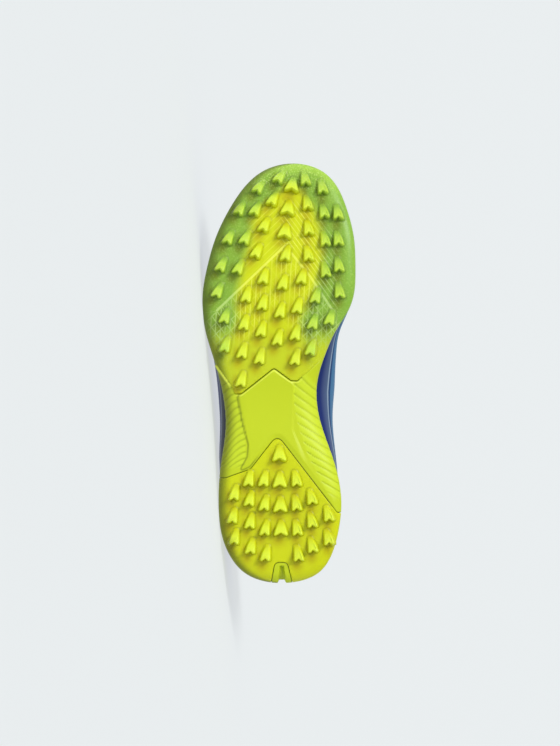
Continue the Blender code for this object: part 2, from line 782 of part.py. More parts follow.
def build_tongue(upper):
    """A padded plate under the throat, from beneath the vamp to above the collar."""
    tree = BVHTree.FromObject(upper, bpy.context.evaluated_depsgraph_get())
    columns = upper_columns()
    rows, across = 10, 8
    edges = [upper_meridian(i, columns)[-1] for i in range(SIDE_STEPS // 2 + 4)]
    ridge = sorted((e.x, e.z) for e in edges)
    start, end = TONGUE_FRONT * LENGTH, TONGUE_BACK * LENGTH
    crest_x = max(ridge, key=lambda e: e[1])[0]

    def ridge_height(x):
        front = ridge[-1][0]
        if x < crest_x:
            return np.interp(crest_x, *zip(*ridge)) + (crest_x - x) * TONGUE_RISE
        if x > front:
            return ridge[-1][1] - (x - front) * TONGUE_FALL
        return np.interp(x, *zip(*ridge))

    pitch = (start - end) / rows
    top_rows, bottom_rows = [], []
    for r in range(rows + 1):
        x = start + (end - start) * r / rows
        taper = 1 - TONGUE_NARROW * (1 - r / rows) - TONGUE_ROUND * clamp((r - rows + 1.5) / 1.5) ** 2
        half = TONGUE_WIDTH / 2 * taper
        shift = columns["shift"](clamp((0.665 - x / LENGTH) / 0.5)) * BALL_WIDTH
        row_top, row_bottom = [], []
        for k in range(across + 1):
            v = 2 * k / across - 1
            y = shift + v * half
            z = ridge_height(x) - TONGUE_SEAT - TONGUE_CROWN * v * v
            wanted = z
            for near_x in (-0.6, 0, 0.6):
                for near_y in (-0.7, 0, 0.7):
                    over = Vector((x + near_x * pitch, y + near_y * half * 2 / across, wanted))
                    hit = tree.ray_cast(over - Vector((0, 0, 0.25 * INSTEP_HEIGHT)), Vector((0, 0, 1)))
                    if hit[0] is not None:
                        z = min(z, hit[0].z - TONGUE_GAP)
            row_top.append(Vector((x, y, z)))
        for k, p in enumerate(row_top):
            thick = TONGUE_THICKNESS * (1 - TONGUE_THINNER * (2 * k / across - 1) ** 2)
            row_bottom.append(p - Vector((0, 0, thick)))
        top_rows.append(row_top)
        bottom_rows.append(row_bottom)
    width = across + 1
    verts = [v for row in top_rows for v in row] + [v for row in bottom_rows for v in row]
    low = (rows + 1) * width
    faces = []
    for r in range(rows):
        for k in range(across):
            a = r * width + k
            faces.append((a, a + 1, a + width + 1, a + width))
            faces.append((low + a, low + a + width, low + a + width + 1, low + a + 1))
        for k in (0, across):
            a = r * width + k
            faces.append((a, a + width, low + a + width, low + a))
    for r in (0, rows):
        for k in range(across):
            a = r * width + k
            faces.append((a, a + 1, low + a + 1, low + a))
    tongue = make_object("tongue", verts, faces, colour=(0.02, 0.05, 0.25), roughness=0.8)
    own = BVHTree.FromObject(tongue, bpy.context.evaluated_depsgraph_get())
    spare = min(
        min(tree.find_nearest(v.co)[3] for v in tongue.data.vertices),
        min(own.find_nearest(v.co)[3] for v in upper.data.vertices),
    )
    tongue.data.transform(Matrix.Translation((0, 0, spare - GAP)))
    return tongue


def eyelet(side, k, columns):
    """Where an eyelet lies on the upper's outer face, back from the throat edge."""
    around = EYELET_FIRST + (EYELET_LAST - EYELET_FIRST) * k / (EYELET_ROWS - 1)
    i = int(round(around * SIDE_STEPS))
    index = i if side > 0 else RING - i
    exact = around * SIDE_STEPS - i
    line = upper_meridian(index, columns)
    edge = line[-1]
    inwards = (line[-2] - line[-1]).normalized()
    other = upper_meridian(index + (side if exact > 0 else -side), columns)[-1]
    return edge.lerp(other, abs(exact)) + inwards * EYELET_BACK


def lace_strand(start, end, tree, lift):
    """A flat strand that lies over whatever is under it between two eyelets."""
    steps = LACE_STEPS
    run = Vector((end.x - start.x, end.y - start.y, 0)).normalized()
    start = start - run * LACE_START
    end = end + run * LACE_END
    across = Vector((-run.y, run.x, 0)) * LACE_WIDTH / 2
    centre, ground = [], []
    for k in range(steps + 1):
        p = start.lerp(end, k / steps)
        centre.append(Vector((p.x, p.y, 0)))
        below = [0.0]
        for step in (-0.7, -0.35, 0, 0.35, 0.7):
            over = start.lerp(end, clamp((k + step) / steps))
            for sign in (-1, -0.5, 0, 0.5, 1):
                above = Vector((over.x, over.y, 2 * INSTEP_HEIGHT)) + across * sign
                hit = tree.ray_cast(above, Vector((0, 0, -1)))
                below.append(hit[0].z if hit[0] is not None else 0.0)
        ground.append(max(below))
    verts = []
    for k in range(steps + 1):
        chords = []
        for a in range(k):
            for b in range(k + 1, steps + 1):
                chords.append(ground[a] + (ground[b] - ground[a]) * (k - a) / (b - a))
        base = max([ground[k], *chords]) + LACE_LIFT + lift
        for sign, height in ((1, 0), (-1, 0), (-1, LACE_THICKNESS), (1, LACE_THICKNESS)):
            verts.append(centre[k] + across * sign + Vector((0, 0, base + height)))
    faces = []
    for k in range(steps):
        for a in range(4):
            b = (a + 1) % 4
            faces.append((4 * k + a, 4 * k + b, 4 * k + 4 + b, 4 * k + 4 + a))
    faces += [(0, 1, 2, 3), (4 * steps, 4 * steps + 1, 4 * steps + 2, 4 * steps + 3)]
    return verts, faces


def build_laces(upper, tongue):
    """The crossings of the lace over the tongue, joined to one solid that ends at the top eyelets."""
    columns = upper_columns()
    work = bmesh.new()
    graph = bpy.context.evaluated_depsgraph_get()
    for piece in (upper, tongue):
        work.from_mesh(piece.data)
    tree = BVHTree.FromBMesh(work)
    work.free()
    laces = None
    strands = [((1, 0), (-1, 0))]
    for k in range(EYELET_ROWS - 1):
        strands += [((1, k), (-1, k + 1)), ((-1, k), (1, k + 1))]
    for number, (a, b) in enumerate(strands):
        verts, faces = lace_strand(eyelet(*a, columns), eyelet(*b, columns), tree, LACE_STAGGER * (number % 2))
        strand = make_object("laces", verts, faces)
        if laces is None:
            laces = strand
        else:
            combine(laces, "UNION", strand)
    laces.name = "laces"
    paint(laces, (0.75, 0.85, 0.05), 0.8)
    return laces


def volume_and_centre(piece):
    """Volume of a closed piece and its centre."""
    mesh = piece.data
    mesh.calc_loop_triangles()
    total, centre = 0.0, Vector()
    for tri in mesh.loop_triangles:
        a, b, c = (mesh.vertices[i].co for i in tri.vertices)
        six = a.dot(b.cross(c))
        total += six / 6
        centre += (a + b + c) / 4 * (six / 6)
    return total, centre / total


def resting_matrix(pieces):
    """The move that lays the shoe on the lateral side of its convex hull under its centre of mass."""
    sums = [volume_and_centre(p) for p in pieces]
    centre = sum((c * v for v, c in sums), Vector()) / sum(v for v, _ in sums)
    hull = bmesh.new()
    for piece in pieces:
        hull.from_mesh(piece.data)
    made = bmesh.ops.convex_hull(hull, input=hull.verts, use_existing_faces=False)
    best = None
    for face in (f for f in made["geom"] if isinstance(f, bmesh.types.BMFace)):
        a, b, c = (v.co.copy() for v in face.verts)
        normal = (b - a).cross(c - a).normalized()
        if normal.dot(a - centre) < 0:
            normal = -normal
        foot = centre + normal * normal.dot(a - centre)
        inside = [(q - p).cross(foot - p).dot((b - a).cross(c - a)) > 0 for p, q in ((a, b), (b, c), (c, a))]
        if all(inside) and (best is None or -normal.y > -best.y):
            best = normal
    hull.free()
    down = best
    toe = Vector((1, 0, 0))
    toe = (toe - down * toe.dot(down)).normalized()
    x_axis, z_axis = -toe, -down
    y_axis = z_axis.cross(x_axis)
    return Matrix((x_axis, y_axis, z_axis)).to_4x4()


def lay_down(pieces):
    """Lays the shoe on the floor, its box centred over the origin, and flattens the spots that it rests on."""
    move = resting_matrix(pieces)
    for piece in pieces:
        piece.data.transform(move)
    points = [v.co for piece in pieces for v in piece.data.vertices]
    low = Vector([min(p[k] for p in points) for k in range(3)])
    high = Vector([max(p[k] for p in points) for k in range(3)])
    shift = Vector((-(low.x + high.x) / 2, -(low.y + high.y) / 2, -low.z - FLOOR_FLAT))
    for piece in pieces:
        for v in piece.data.vertices:
            v.co += shift
            v.co.z = max(v.co.z, 0.0)
        piece.data.update()
    return Matrix.Translation(shift) @ move


def main():
    for old in list(bpy.data.objects):
        bpy.data.objects.remove(old)
    forefoot, heel = build_outsole()
    midsole = build_midsole()
    upper = build_upper()
    insole = build_insole()
    tongue = build_tongue(upper)
    laces = build_laces(upper, tongue)
    pieces = [forefoot, heel, midsole, upper, insole, tongue, laces]
    move = lay_down(pieces)
    print("laid down by", [[round(v, 6) for v in row] for row in move])
    for piece in pieces:
        piece.data.calc_loop_triangles()
        print(piece.name, len(piece.data.loop_triangles))


main()
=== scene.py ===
"""Looks of the football shoe for artificial turf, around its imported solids.

The pieces are worked out in the shoe's own frame, as the solids are: +X from heel to toe, +Y to the medial
side, +Z up, with the lug tips on z = 0. The last step of each piece lays it down with the solids.
"""

import math
from collections import namedtuple

import bmesh
import bpy
import numpy as np
from mathutils import Matrix, Vector
from mathutils.bvhtree import BVHTree


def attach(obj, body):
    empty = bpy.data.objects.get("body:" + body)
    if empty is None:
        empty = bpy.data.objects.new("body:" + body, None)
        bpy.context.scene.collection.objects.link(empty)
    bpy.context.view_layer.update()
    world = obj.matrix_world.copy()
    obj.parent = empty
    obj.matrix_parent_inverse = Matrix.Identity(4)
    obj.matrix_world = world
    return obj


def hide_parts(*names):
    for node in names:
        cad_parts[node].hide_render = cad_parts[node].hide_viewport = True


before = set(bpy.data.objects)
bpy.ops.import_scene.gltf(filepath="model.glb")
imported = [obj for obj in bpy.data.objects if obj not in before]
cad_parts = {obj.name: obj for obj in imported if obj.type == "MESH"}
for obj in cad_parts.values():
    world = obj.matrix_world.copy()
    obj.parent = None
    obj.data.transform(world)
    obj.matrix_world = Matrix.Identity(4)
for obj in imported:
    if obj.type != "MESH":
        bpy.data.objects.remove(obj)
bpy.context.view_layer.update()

MM = 0.001

# Sizes shared with the solids
LENGTH = 288 * MM
BALL_WIDTH = 104.5 * MM
INSTEP_HEIGHT = 98 * MM
LUG_HEIGHT = 5.5 * MM
TOE_SPRING = 15 * MM
HEEL_BEVEL = 3 * MM
ARCH_RISE = 4 * MM
RUBBER = 2.0 * MM
GAP = 0.3 * MM
BRIDGE_PROUD = 0.8 * MM
RIM_LIP = 3.0 * MM
SIDE_BAND = 4.5 * MM
RIM_WALL = 2.4 * MM
UPPER_WALL = 1.8 * MM
COLLAR_WALL = 3.6 * MM
EYESTAY_STEP = 0.8 * MM
INSOLE_THICKNESS = 3.5 * MM
INSOLE_LIP = 1.0 * MM
INSOLE_EDGE = 6.0 * MM
TONGUE_THICKNESS = 4.5 * MM
TONGUE_WIDTH = 58 * MM
TONGUE_GAP = 0.6 * MM
TONGUE_SEAT = 2.2 * MM
TONGUE_CROWN = 7.0 * MM
TONGUE_FRONT = 0.72
TONGUE_BACK = 0.345
TONGUE_RISE = 0.55
TONGUE_FALL = 0.30
TONGUE_NARROW = 0.30
TONGUE_ROUND = 0.25
TONGUE_THINNER = 0.45
LACE_WIDTH = 6.0 * MM
LACE_THICKNESS = 1.5 * MM
LACE_LIFT = 0.6 * MM
EYELET_ROWS = 6
EYELET_FIRST = 0.20
EYELET_LAST = 0.565
EYELET_BACK = 8.0 * MM
LUG_LENGTH = 10.8 * MM
LUG_WIDTH = 7.6 * MM
ARROW_WIDTH = 10.5 * MM
CUT_LOW = -20 * MM
CUT_HIGH = 60 * MM

# How the shoe is laid down: the floor's normal in the shoe's frame, and where the frame's zero comes to lie
FLOOR_YAW = 4.46895
FLOOR_ROLL = 3.96284
LAID_SHIFT = (143.293 * MM, -51.105 * MM, 38.722 * MM)

# Fineness of the meshes
TREAD_ROWS = 300
TREAD_COLUMNS = 84
WAIST_ROWS = 430
WAIST_COLUMNS = 132
EDGE_STEPS = 12
WAIST_EDGE_STEPS = 22
UPPER_STEPS = 150
UPPER_LOW = 9
UPPER_HIGH = 26
CORNER_STEPS = 8
INSOLE_ROWS = 160
TONGUE_ROWS = 44
TONGUE_COLUMNS = 20
LACE_STEPS = 26
WELD = 0.01 * MM

# Low relief that only the looks have
ROUND_LIP = 0.6 * MM
LIP_BEAD = 0.35 * MM
LIP_WIDTH = 1.3 * MM
LIP_BACK = 0.7 * MM
RIB_GROOVE = 0.60 * MM
NOTCH_CENTRE = 0.012
NOTCH_GROOVE = 2.4 * MM
NOTCH_WIDTH = 4.6 * MM
LIP_RIDGE = 0.50 * MM
RIDGE_HALF = 1.0 * MM
OVERLAY = 0.6 * MM
COLLAR_ROLL = 1.2 * MM
CREASE = 0.5 * MM
LACE_DIVE = 2.2 * MM
LACE_NARROW = 0.38
LACE_OVER = 0.95

# Eyelets and stitches: a ring's radius and tube, its mouth's radius and depth, a stitch's size and spacing
RING_RADIUS = 3.6 * MM
RING_TUBE = 0.7 * MM
RING_PROUD = 0.2 * MM
MOUTH_RADIUS = 3.1 * MM
MOUTH_DEPTH = 0.5 * MM
STITCH_HALF = 1.1 * MM
STITCH_THICK = 0.32 * MM
STITCH_PITCH = 3.1 * MM
STITCH_PROUD = 0.05 * MM

# Shade round the lateral lower edge: how far in from the outline, and how tall
FLANK_SHADE = 8.6 * MM
FLANK_TALL = 12.0 * MM

# Shade behind a lug and on its lateral side: place from the lug's middle, and reach along and across
LUG_SPREAD = 0.42
BEHIND_BACK = 0.70
BEHIND_OUT = 1.9 * MM
BEHIND_LONG = 4.4 * MM
BEHIND_WIDE = 1.15
BESIDE_BACK = 0.12
BESIDE_OUT = 0.9 * MM
BESIDE_LONG = 4.2 * MM
BESIDE_WIDE = 1.9 * MM
BESIDE_SHARE = 0.75

# Unit of the places in the shoe's plan that the materials read, and the fine moulded lines there
PLAN_UNIT = 100 * MM
LINE_HALF = 0.18 * MM
LINE_SOFT = 0.32 * MM
VEE_HALF = 0.50
VEE_SOFT = 0.55
VEE_FAR = 9.0
LACE_RIB = 1.0 * MM

# The paper sweep: its flat middle, reach and rise, and how brightly the lit table below shines through it
FLOOR_FLAT = 2.5
FLOOR_REACH = 26.0
FLOOR_RISE = 5.0
FLOOR_CURVE = 2.2
FLOOR_RINGS = 32
FLOOR_ROUND = 96
FLOOR_GLOW = 0.70

# The studio's light: where the key light comes from, its strength and angle, and the strength of the fill
KEY_FROM = (-0.42, -0.62, 0.66)
KEY_POWER = 2.25
KEY_SOFT = 20.0
FILL_POWER = 0.53
FILL_COLOUR = (0.975, 0.99, 1.0, 1.0)

# The camera looks straight at the sole: its distance, and how much of the shoe the picture's long side holds
CAMERA_FAR = 4.0
PICTURE_TALL = 509.5 * MM
AIM_X = 144.0 * MM
SENSOR = 36.0


def table(columns, *rows):
    """Rows with named columns."""
    row = namedtuple("Row", columns)
    return [row(*r) for r in rows]


OUTLINE = table(
    "share lateral medial",
    (1.000, 0.086, 0.086),
    (0.983, -0.105, 0.270),
    (0.936, -0.250, 0.388),
    (0.888, -0.336, 0.441),
    (0.816, -0.428, 0.487),
    (0.745, -0.482, 0.495),
    (0.697, -0.505, 0.489),
    (0.650, -0.507, 0.450),
    (0.600, -0.489, 0.366),
    (0.554, -0.453, 0.308),
    (0.483, -0.395, 0.247),
    (0.420, -0.363, 0.246),
    (0.387, -0.356, 0.264),
    (0.316, -0.374, 0.330),
    (0.268, -0.393, 0.372),
    (0.197, -0.403, 0.402),
    (0.125, -0.388, 0.384),
    (0.054, -0.309, 0.320),
    (0.018, -0.204, 0.226),
    (0.000, 0.010, 0.010),
)
SOLE = table(
    "share thick roll rise taper",
    (0.00, 0.170, 0.075, 0.055, 0.034),
    (0.10, 0.172, 0.085, 0.055, 0.036),
    (0.22, 0.168, 0.095, 0.060, 0.032),
    (0.36, 0.150, 0.140, 0.082, 0.012),
    (0.48, 0.128, 0.130, 0.078, 0.008),
    (0.62, 0.100, 0.095, 0.050, 0.012),
    (0.75, 0.086, 0.085, 0.042, 0.016),
    (0.90, 0.084, 0.085, 0.042, 0.018),
    (1.00, 0.086, 0.080, 0.044, 0.018),
)
UPPER = table(
    "around edge_x edge_y edge_z shift out_medial out_lateral up lift reach drop",
    (0.00, 0.665, 0.000, 0.612, 0.045, -0.015, -0.015, 0.10, 0.19, 0.43, 0.105),
    (0.06, 0.662, 0.050, 0.614, 0.044, -0.015, -0.016, 0.10, 0.19, 0.38, 0.110),
    (0.13, 0.650, 0.090, 0.628, 0.042, -0.015, -0.019, 0.11, 0.20, 0.30, 0.120),
    (0.22, 0.620, 0.120, 0.665, 0.036, -0.014, -0.024, 0.12, 0.21, 0.21, 0.120),
    (0.32, 0.575, 0.142, 0.738, 0.028, -0.010, -0.030, 0.13, 0.23, 0.16, 0.110),
    (0.42, 0.518, 0.165, 0.830, 0.018, 0.035, -0.020, 0.18, 0.25, 0.14, 0.110),
    (0.52, 0.455, 0.197, 0.935, 0.008, 0.118, 0.022, 0.24, 0.25, 0.12, 0.130),
    (0.60, 0.402, 0.240, 0.995, 0.000, 0.086, 0.042, 0.26, 0.23, 0.07, 0.170),
    (0.68, 0.335, 0.292, 0.868, 0.000, 0.022, 0.020, 0.25, 0.18, 0.01, 0.150),
    (0.77, 0.232, 0.318, 0.730, 0.000, -0.020, -0.022, 0.20, 0.12, 0.00, 0.110),
    (0.86, 0.128, 0.280, 0.765, 0.000, -0.030, -0.030, 0.20, 0.12, 0.00, 0.130),
    (0.94, 0.050, 0.168, 0.885, 0.000, -0.034, -0.034, 0.20, 0.14, 0.00, 0.170),
    (1.00, 0.030, 0.000, 0.940, 0.000, -0.034, -0.034, 0.22, 0.16, 0.01, 0.200),
)
FOREFOOT_BORDER = table(
    "share across radius",
    (0.540, -0.540, 0.000),
    (0.519, -0.414, 0.038),
    (0.472, -0.322, 0.048),
    (0.451, -0.296, 0.014),
    (0.451, -0.256, 0.029),
    (0.513, -0.040, 0.029),
    (0.483, 0.072, 0.033),
    (0.482, 0.112, 0.019),
    (0.538, 0.296, 0.048),
    (0.610, 0.520, 0.000),
)
HEEL_BORDER = table(
    "share across radius",
    (0.250, -0.520, 0.000),
    (0.250, -0.355, 0.038),
    (0.271, -0.192, 0.067),
    (0.352, -0.018, 0.048),
    (0.168, 0.372, 0.019),
    (0.163, 0.520, 0.000),
)
HEEL_NOTCH = table(
    "share across radius",
    (-0.030, -0.076, 0.000),
    (0.051, -0.036, 0.038),
    (0.051, 0.050, 0.038),
    (-0.030, 0.104, 0.000),
)
BRIDGE_PANEL = table(
    "share across radius",
    (0.445, -0.276, 0.024),
    (0.506, -0.040, 0.029),
    (0.478, 0.074, 0.029),
    (0.472, 0.094, 0.010),
    (0.364, 0.086, 0.057),
    (0.300, 0.160, 0.077),
    (0.205, 0.340, 0.019),
    (0.190, 0.360, 0.019),
    (0.360, -0.018, 0.057),
    (0.278, -0.200, 0.057),
    (0.268, -0.262, 0.019),
    (0.300, -0.212, 0.038),
    (0.330, -0.206, 0.048),
    (0.385, -0.246, 0.057),
)
LUG_ROWS = table(
    "form count lean x0 y0 x1 y1 x2 y2",
    ("side", 2, 22, 0.965, -0.007, 0.953, -0.075, 0.941, -0.144),
    ("side", 4, 17, 0.889, -0.269, 0.788, -0.368, 0.695, -0.412),
    ("side", 3, 17, 0.888, -0.165, 0.820, -0.232, 0.750, -0.276),
    ("side", 3, 16, 0.912, -0.053, 0.850, -0.108, 0.788, -0.158),
    ("arrow", 3, 8, 0.945, 0.079, 0.890, 0.052, 0.835, 0.033),
    ("side_flip", 4, -2, 0.960, 0.171, 0.872, 0.190, 0.781, 0.190),
    ("side_flip", 4, -4, 0.940, 0.283, 0.850, 0.298, 0.743, 0.303),
    ("side_flip", 4, -2, 0.879, 0.384, 0.786, 0.388, 0.694, 0.394),
    ("side", 2, 10, 0.634, -0.365, 0.600, -0.362, 0.566, -0.362),
    ("side", 4, 7, 0.684, -0.224, 0.585, -0.245, 0.484, -0.258),
    ("side", 4, 6, 0.727, -0.112, 0.634, -0.122, 0.538, -0.136),
    ("side", 4, 6, 0.781, 0.033, 0.680, 0.006, 0.582, -0.018),
    ("side", 4, 6, 0.727, 0.138, 0.625, 0.102, 0.536, 0.097),
    ("side", 3, 8, 0.682, 0.230, 0.620, 0.212, 0.559, 0.197),
    ("side", 1, 8, 0.630, 0.322, 0.630, 0.322, 0.630, 0.322),
    ("arrow", 4, 0, 0.306, -0.004, 0.215, 0.000, 0.130, 0.006),
    ("side", 4, 3, 0.247, -0.110, 0.160, -0.104, 0.070, -0.098),
    ("side", 4, 3, 0.247, -0.208, 0.174, -0.202, 0.087, -0.196),
    ("side", 3, 4, 0.214, -0.302, 0.159, -0.314, 0.109, -0.302),
    ("side_flip", 4, -3, 0.247, 0.112, 0.160, 0.114, 0.070, 0.125),
    ("side_flip", 3, -6, 0.204, 0.212, 0.149, 0.214, 0.090, 0.217),
    ("side_flip", 2, -6, 0.164, 0.322, 0.136, 0.322, 0.108, 0.322),
)
LUG_FORMS = {
    "side": [(0.54, 0.36), (-0.46, 0.44), (-0.20, 0.06), (-0.48, -0.42), (0.08, -0.20), (0.54, 0.08)],
    "arrow": [(0.54, 0.10), (-0.46, 0.46), (-0.20, 0.00), (-0.46, -0.46), (0.54, -0.10)],
}
# Rings of a lug from its buried root to its top: how far outside the tip's outline, share of the lug's local
# height, and a height in addition to it
LUG_RINGS = table(
    "grow share more",
    (1.90 * MM, 0.0, -0.90 * MM),
    (1.50 * MM, 0.0, -0.03 * MM),
    (1.15 * MM, 0.04, 0.10 * MM),
    (0.88 * MM, 0.18, 0.05 * MM),
    (0.62 * MM, 0.48, 0.0),
    (0.40 * MM, 0.76, 0.0),
    (0.15 * MM, 0.92, 0.0),
    (-0.15 * MM, 0.985, 0.0),
    (-0.55 * MM, 1.0, 0.0),
)
LUG_CORNER = 0.75 * MM
LUG_POINTS = 40
LUG_FRONT = 0.10

# The yellow core of the translucent forefoot rubber, and how soft its edge is
GOLD_FIELD = table(
    "share lateral medial",
    (0.965, 0.060, 0.080),
    (0.936, 0.013, 0.131),
    (0.900, -0.118, 0.210),
    (0.865, -0.184, 0.250),
    (0.817, -0.197, 0.276),
    (0.769, -0.237, 0.276),
    (0.722, -0.263, 0.250),
    (0.674, -0.289, 0.197),
    (0.626, -0.276, 0.131),
    (0.579, -0.315, 0.150),
    (0.500, -0.330, 0.200),
)
GOLD_SOFT = 5.0 * MM

# The raised inverted V in the forefoot, as shares of length and ball width: its tip, the bow of its medial
# arm and the ends of its arms
VEE_TIP = (0.803, 0.033)
VEE_LATERAL = (0.648, -0.414)
VEE_BOW = (0.7306, 0.194)
VEE_MEDIAL = (0.650, 0.342)


def vee_slant(end):
    """Angle between the shoe's length and the line from the V's tip to an end of its arms."""
    return math.atan2((end[1] - VEE_TIP[1]) * BALL_WIDTH, (end[0] - VEE_TIP[0]) * LENGTH)


# Sets of fine lines in the forefoot's rubber: field, angle to the shoe's length, spacing, and strength in
# the clear web and over the yellow core
LINE_SETS = table(
    "field slant spacing web core",
    ("net", vee_slant(VEE_MEDIAL), 4.7 * MM, 1.0, 0.35),
    ("net", vee_slant(VEE_LATERAL), 5.3 * MM, 1.0, 0.35),
    ("net", 0.05, 3.3 * MM, 1.0, 1.0),
    ("rays_medial", vee_slant(VEE_MEDIAL), 2.6 * MM, 1.0, 1.0),
    ("rays_lateral", vee_slant(VEE_LATERAL), 3.4 * MM, 0.45, 0.45),
)

# Ribs of the two flanks of the waist: spacing, reach of the rows along the length and their slant
FLANKS = table(
    "side spacing first last slant bend width",
    (-1, 4.4 * MM, 0.492, 0.272, 0.15, 45.0, 0.26),
    (1, 6.7 * MM, 0.520, 0.215, 0.74, 0.0, 0.15),
)
# How far in from the outline the ribs reach, from share of length to share of ball width
LATERAL_REACH = ((0.25, 0.150), (0.30, 0.165), (0.33, 0.150), (0.40, 0.115), (0.46, 0.080))
MEDIAL_REACH = ((0.20, 0.090), (0.30, 0.165), (0.40, 0.155), (0.47, 0.160), (0.53, 0.130))
# How crisp the joint along the heel's rubber is, from 0, flush, to 1, open
HEEL_CRISP = 0.6

# The upper's printed bands, as the share of the way from the sole (0) to the throat (1) and its colour
MEDIAL_BANDS = (
    (0.000, "#0C2060"),
    (0.205, "#13296A"),
    (0.258, "#40507A"),
    (0.310, "#4C6082"),
    (0.318, "#8FA2B8"),
    (0.328, "#8FA2B8"),
    (0.336, "#173C68"),
    (0.362, "#1B4478"),
    (0.370, "#3F7098"),
    (0.620, "#3F7CAE"),
    (0.640, "#1B3C9C"),
    (0.880, "#1B3794"),
    (1.000, "#16296A"),
)
LATERAL_BANDS = (
    (0.000, "#101522"),
    (0.240, "#232938"),
    (0.325, "#3B4150"),
    (0.340, "#7C8496"),
    (0.352, "#7C8496"),
    (0.362, "#1A2858"),
    (0.560, "#1C3A94"),
    (0.880, "#1B3794"),
    (1.000, "#16296A"),
)


def blend(low, high, value):
    """A smooth rise from 0 at low to 1 at high."""
    t = np.clip((np.asarray(value, float) - low) / (high - low), 0, 1)
    return t * t * (3 - 2 * t)


def run_of(line):
    """How far along a line each of its points lies."""
    return np.concatenate([[0], np.cumsum(np.linalg.norm(np.diff(line, axis=0), axis=1))])


def spline(knots, values, period=None):
    """A smooth curve through the values: natural at its ends, or closed if it has a period."""
    knots = np.array(knots, float)
    values = np.array(values, float)
    if period:
        knots = np.append(knots, knots[0] + period)
        values = np.append(values, values[0])
    step = np.diff(knots)
    count = len(knots)
    matrix = np.zeros((count, count))
    right = np.zeros(count)
    slope = np.diff(values) / step
    for i in range(1, count - 1):
        matrix[i, i - 1 : i + 2] = step[i - 1], 2 * (step[i - 1] + step[i]), step[i]
        right[i] = 6 * (slope[i] - slope[i - 1])
    if period:
        matrix[0, 0], matrix[0, -1] = 1, -1
        matrix[-1, 0], matrix[-1, 1] = 2 * step[0], step[0]
        matrix[-1, -2], matrix[-1, -1] = step[-1], 2 * step[-1]
        right[-1] = 6 * (slope[0] - slope[-1])
    else:
        matrix[0, 0] = matrix[-1, -1] = 1
    bend = np.linalg.solve(matrix, right)

    def at(x):
        x = np.asarray(x, float)
        if period:
            x = (x - knots[0]) % period + knots[0]
        i = np.clip(np.searchsorted(knots, x) - 1, 0, count - 2)
        h = step[i]
        a = (knots[i + 1] - x) / h
        b = (x - knots[i]) / h
        curved = ((a**3 - a) * bend[i] + (b**3 - b) * bend[i + 1]) * h * h / 6
        return a * values[i] + b * values[i + 1] + curved

    return at


def column(rows, key, name):
    """A table's column as a smooth function of its key column."""
    ordered = sorted(rows, key=lambda r: getattr(r, key))
    return spline([getattr(r, key) for r in ordered], [getattr(r, name) for r in ordered])


thick_at = column(SOLE, "share", "thick")
roll_at = column(SOLE, "share", "roll")
rise_at = column(SOLE, "share", "rise")
taper_at = column(SOLE, "share", "taper")
UPPER_AT = {name: column(UPPER, "around", name) for name in UPPER[0]._fields[1:]}


def share_of(x):
    """A place along the shoe as a share of its length, within the shoe."""
    return np.clip(np.asarray(x) / LENGTH, 0, 1)


def outline_sides():
    """Both sides of the sole's outline from toe to heel: shares of the way, points and outward normals."""
    angles = [math.acos(min(1, max(-1, 2 * r.share - 1))) for r in OUTLINE]
    knots = [-a for a in reversed(angles[1:])] + angles[:-1]
    across = [r.lateral for r in reversed(OUTLINE[1:])] + [r.medial for r in OUTLINE[:-1]]
    y_at = spline(knots, across, 2 * math.pi)
    sides = {}
    for side in (1, -1):
        turn = np.linspace(0, math.pi, 6001) * side
        points = np.stack([LENGTH * (1 + np.cos(turn)) / 2, BALL_WIDTH * y_at(turn)], 1)
        run = run_of(points)
        tangent = np.gradient(points, axis=0)
        tangent /= np.linalg.norm(tangent, axis=1)[:, None]
        normal = np.stack([tangent[:, 1], -tangent[:, 0]], 1) * side
        sides[side] = (run / run[-1], points, normal)
    return sides


SIDES = outline_sides()


def edge_at(way, side):
    """Points and outward normals of one side of the outline at shares of the way from toe to heel."""
    run, points, normals = SIDES[side]
    p = np.stack([np.interp(way, run, points[:, k]) for k in (0, 1)], 1)
    n = np.stack([np.interp(way, run, normals[:, k]) for k in (0, 1)], 1)
    return p, n / np.linalg.norm(n, axis=1)[:, None]


def tread_base(x, y):
    """Height of the rubber's outer face between the lugs."""
    s = share_of(x)
    toe = np.maximum(0.0, (s - 0.68) / 0.32)
    heel = np.maximum(0.0, (0.09 - s) / 0.09)
    waist = np.sin(math.pi * np.clip((s - 0.27) / 0.33, 0, 1)) ** 2
    medial = np.clip(0.5 + np.asarray(y) / (0.7 * BALL_WIDTH), 0, 1)
    arch = ARCH_RISE * waist * (0.4 + 0.6 * medial)
    return LUG_HEIGHT + TOE_SPRING * toe**1.9 + HEEL_BEVEL * heel**2 + arch


def feather(x):
    """Height of the line where the foot stands."""
    return tread_base(x, 0 * np.asarray(x)) + BALL_WIDTH * thick_at(share_of(x))


def lower_edge(p, n, turn, depth):
    """Points on the rounded lower edge of the sole: turn from 0, flat, to a quarter turn, upright."""
    s = share_of(p[:, 0])
    roll, rise = BALL_WIDTH * roll_at(s), BALL_WIDTH * rise_at(s)
    q = p - n * (roll * (1 - math.sin(turn)))[:, None]
    z = tread_base(q[:, 0], q[:, 1]) + rise * (1 - math.cos(turn)) + depth(q) * math.cos(turn)
    q = q - n * (depth(q) * math.sin(turn))[:, None]
    return np.column_stack([q, z])


def flush(q):
    """No depth anywhere: the skin lies on the sole's lower surface."""
    return 0 * q[:, 0]


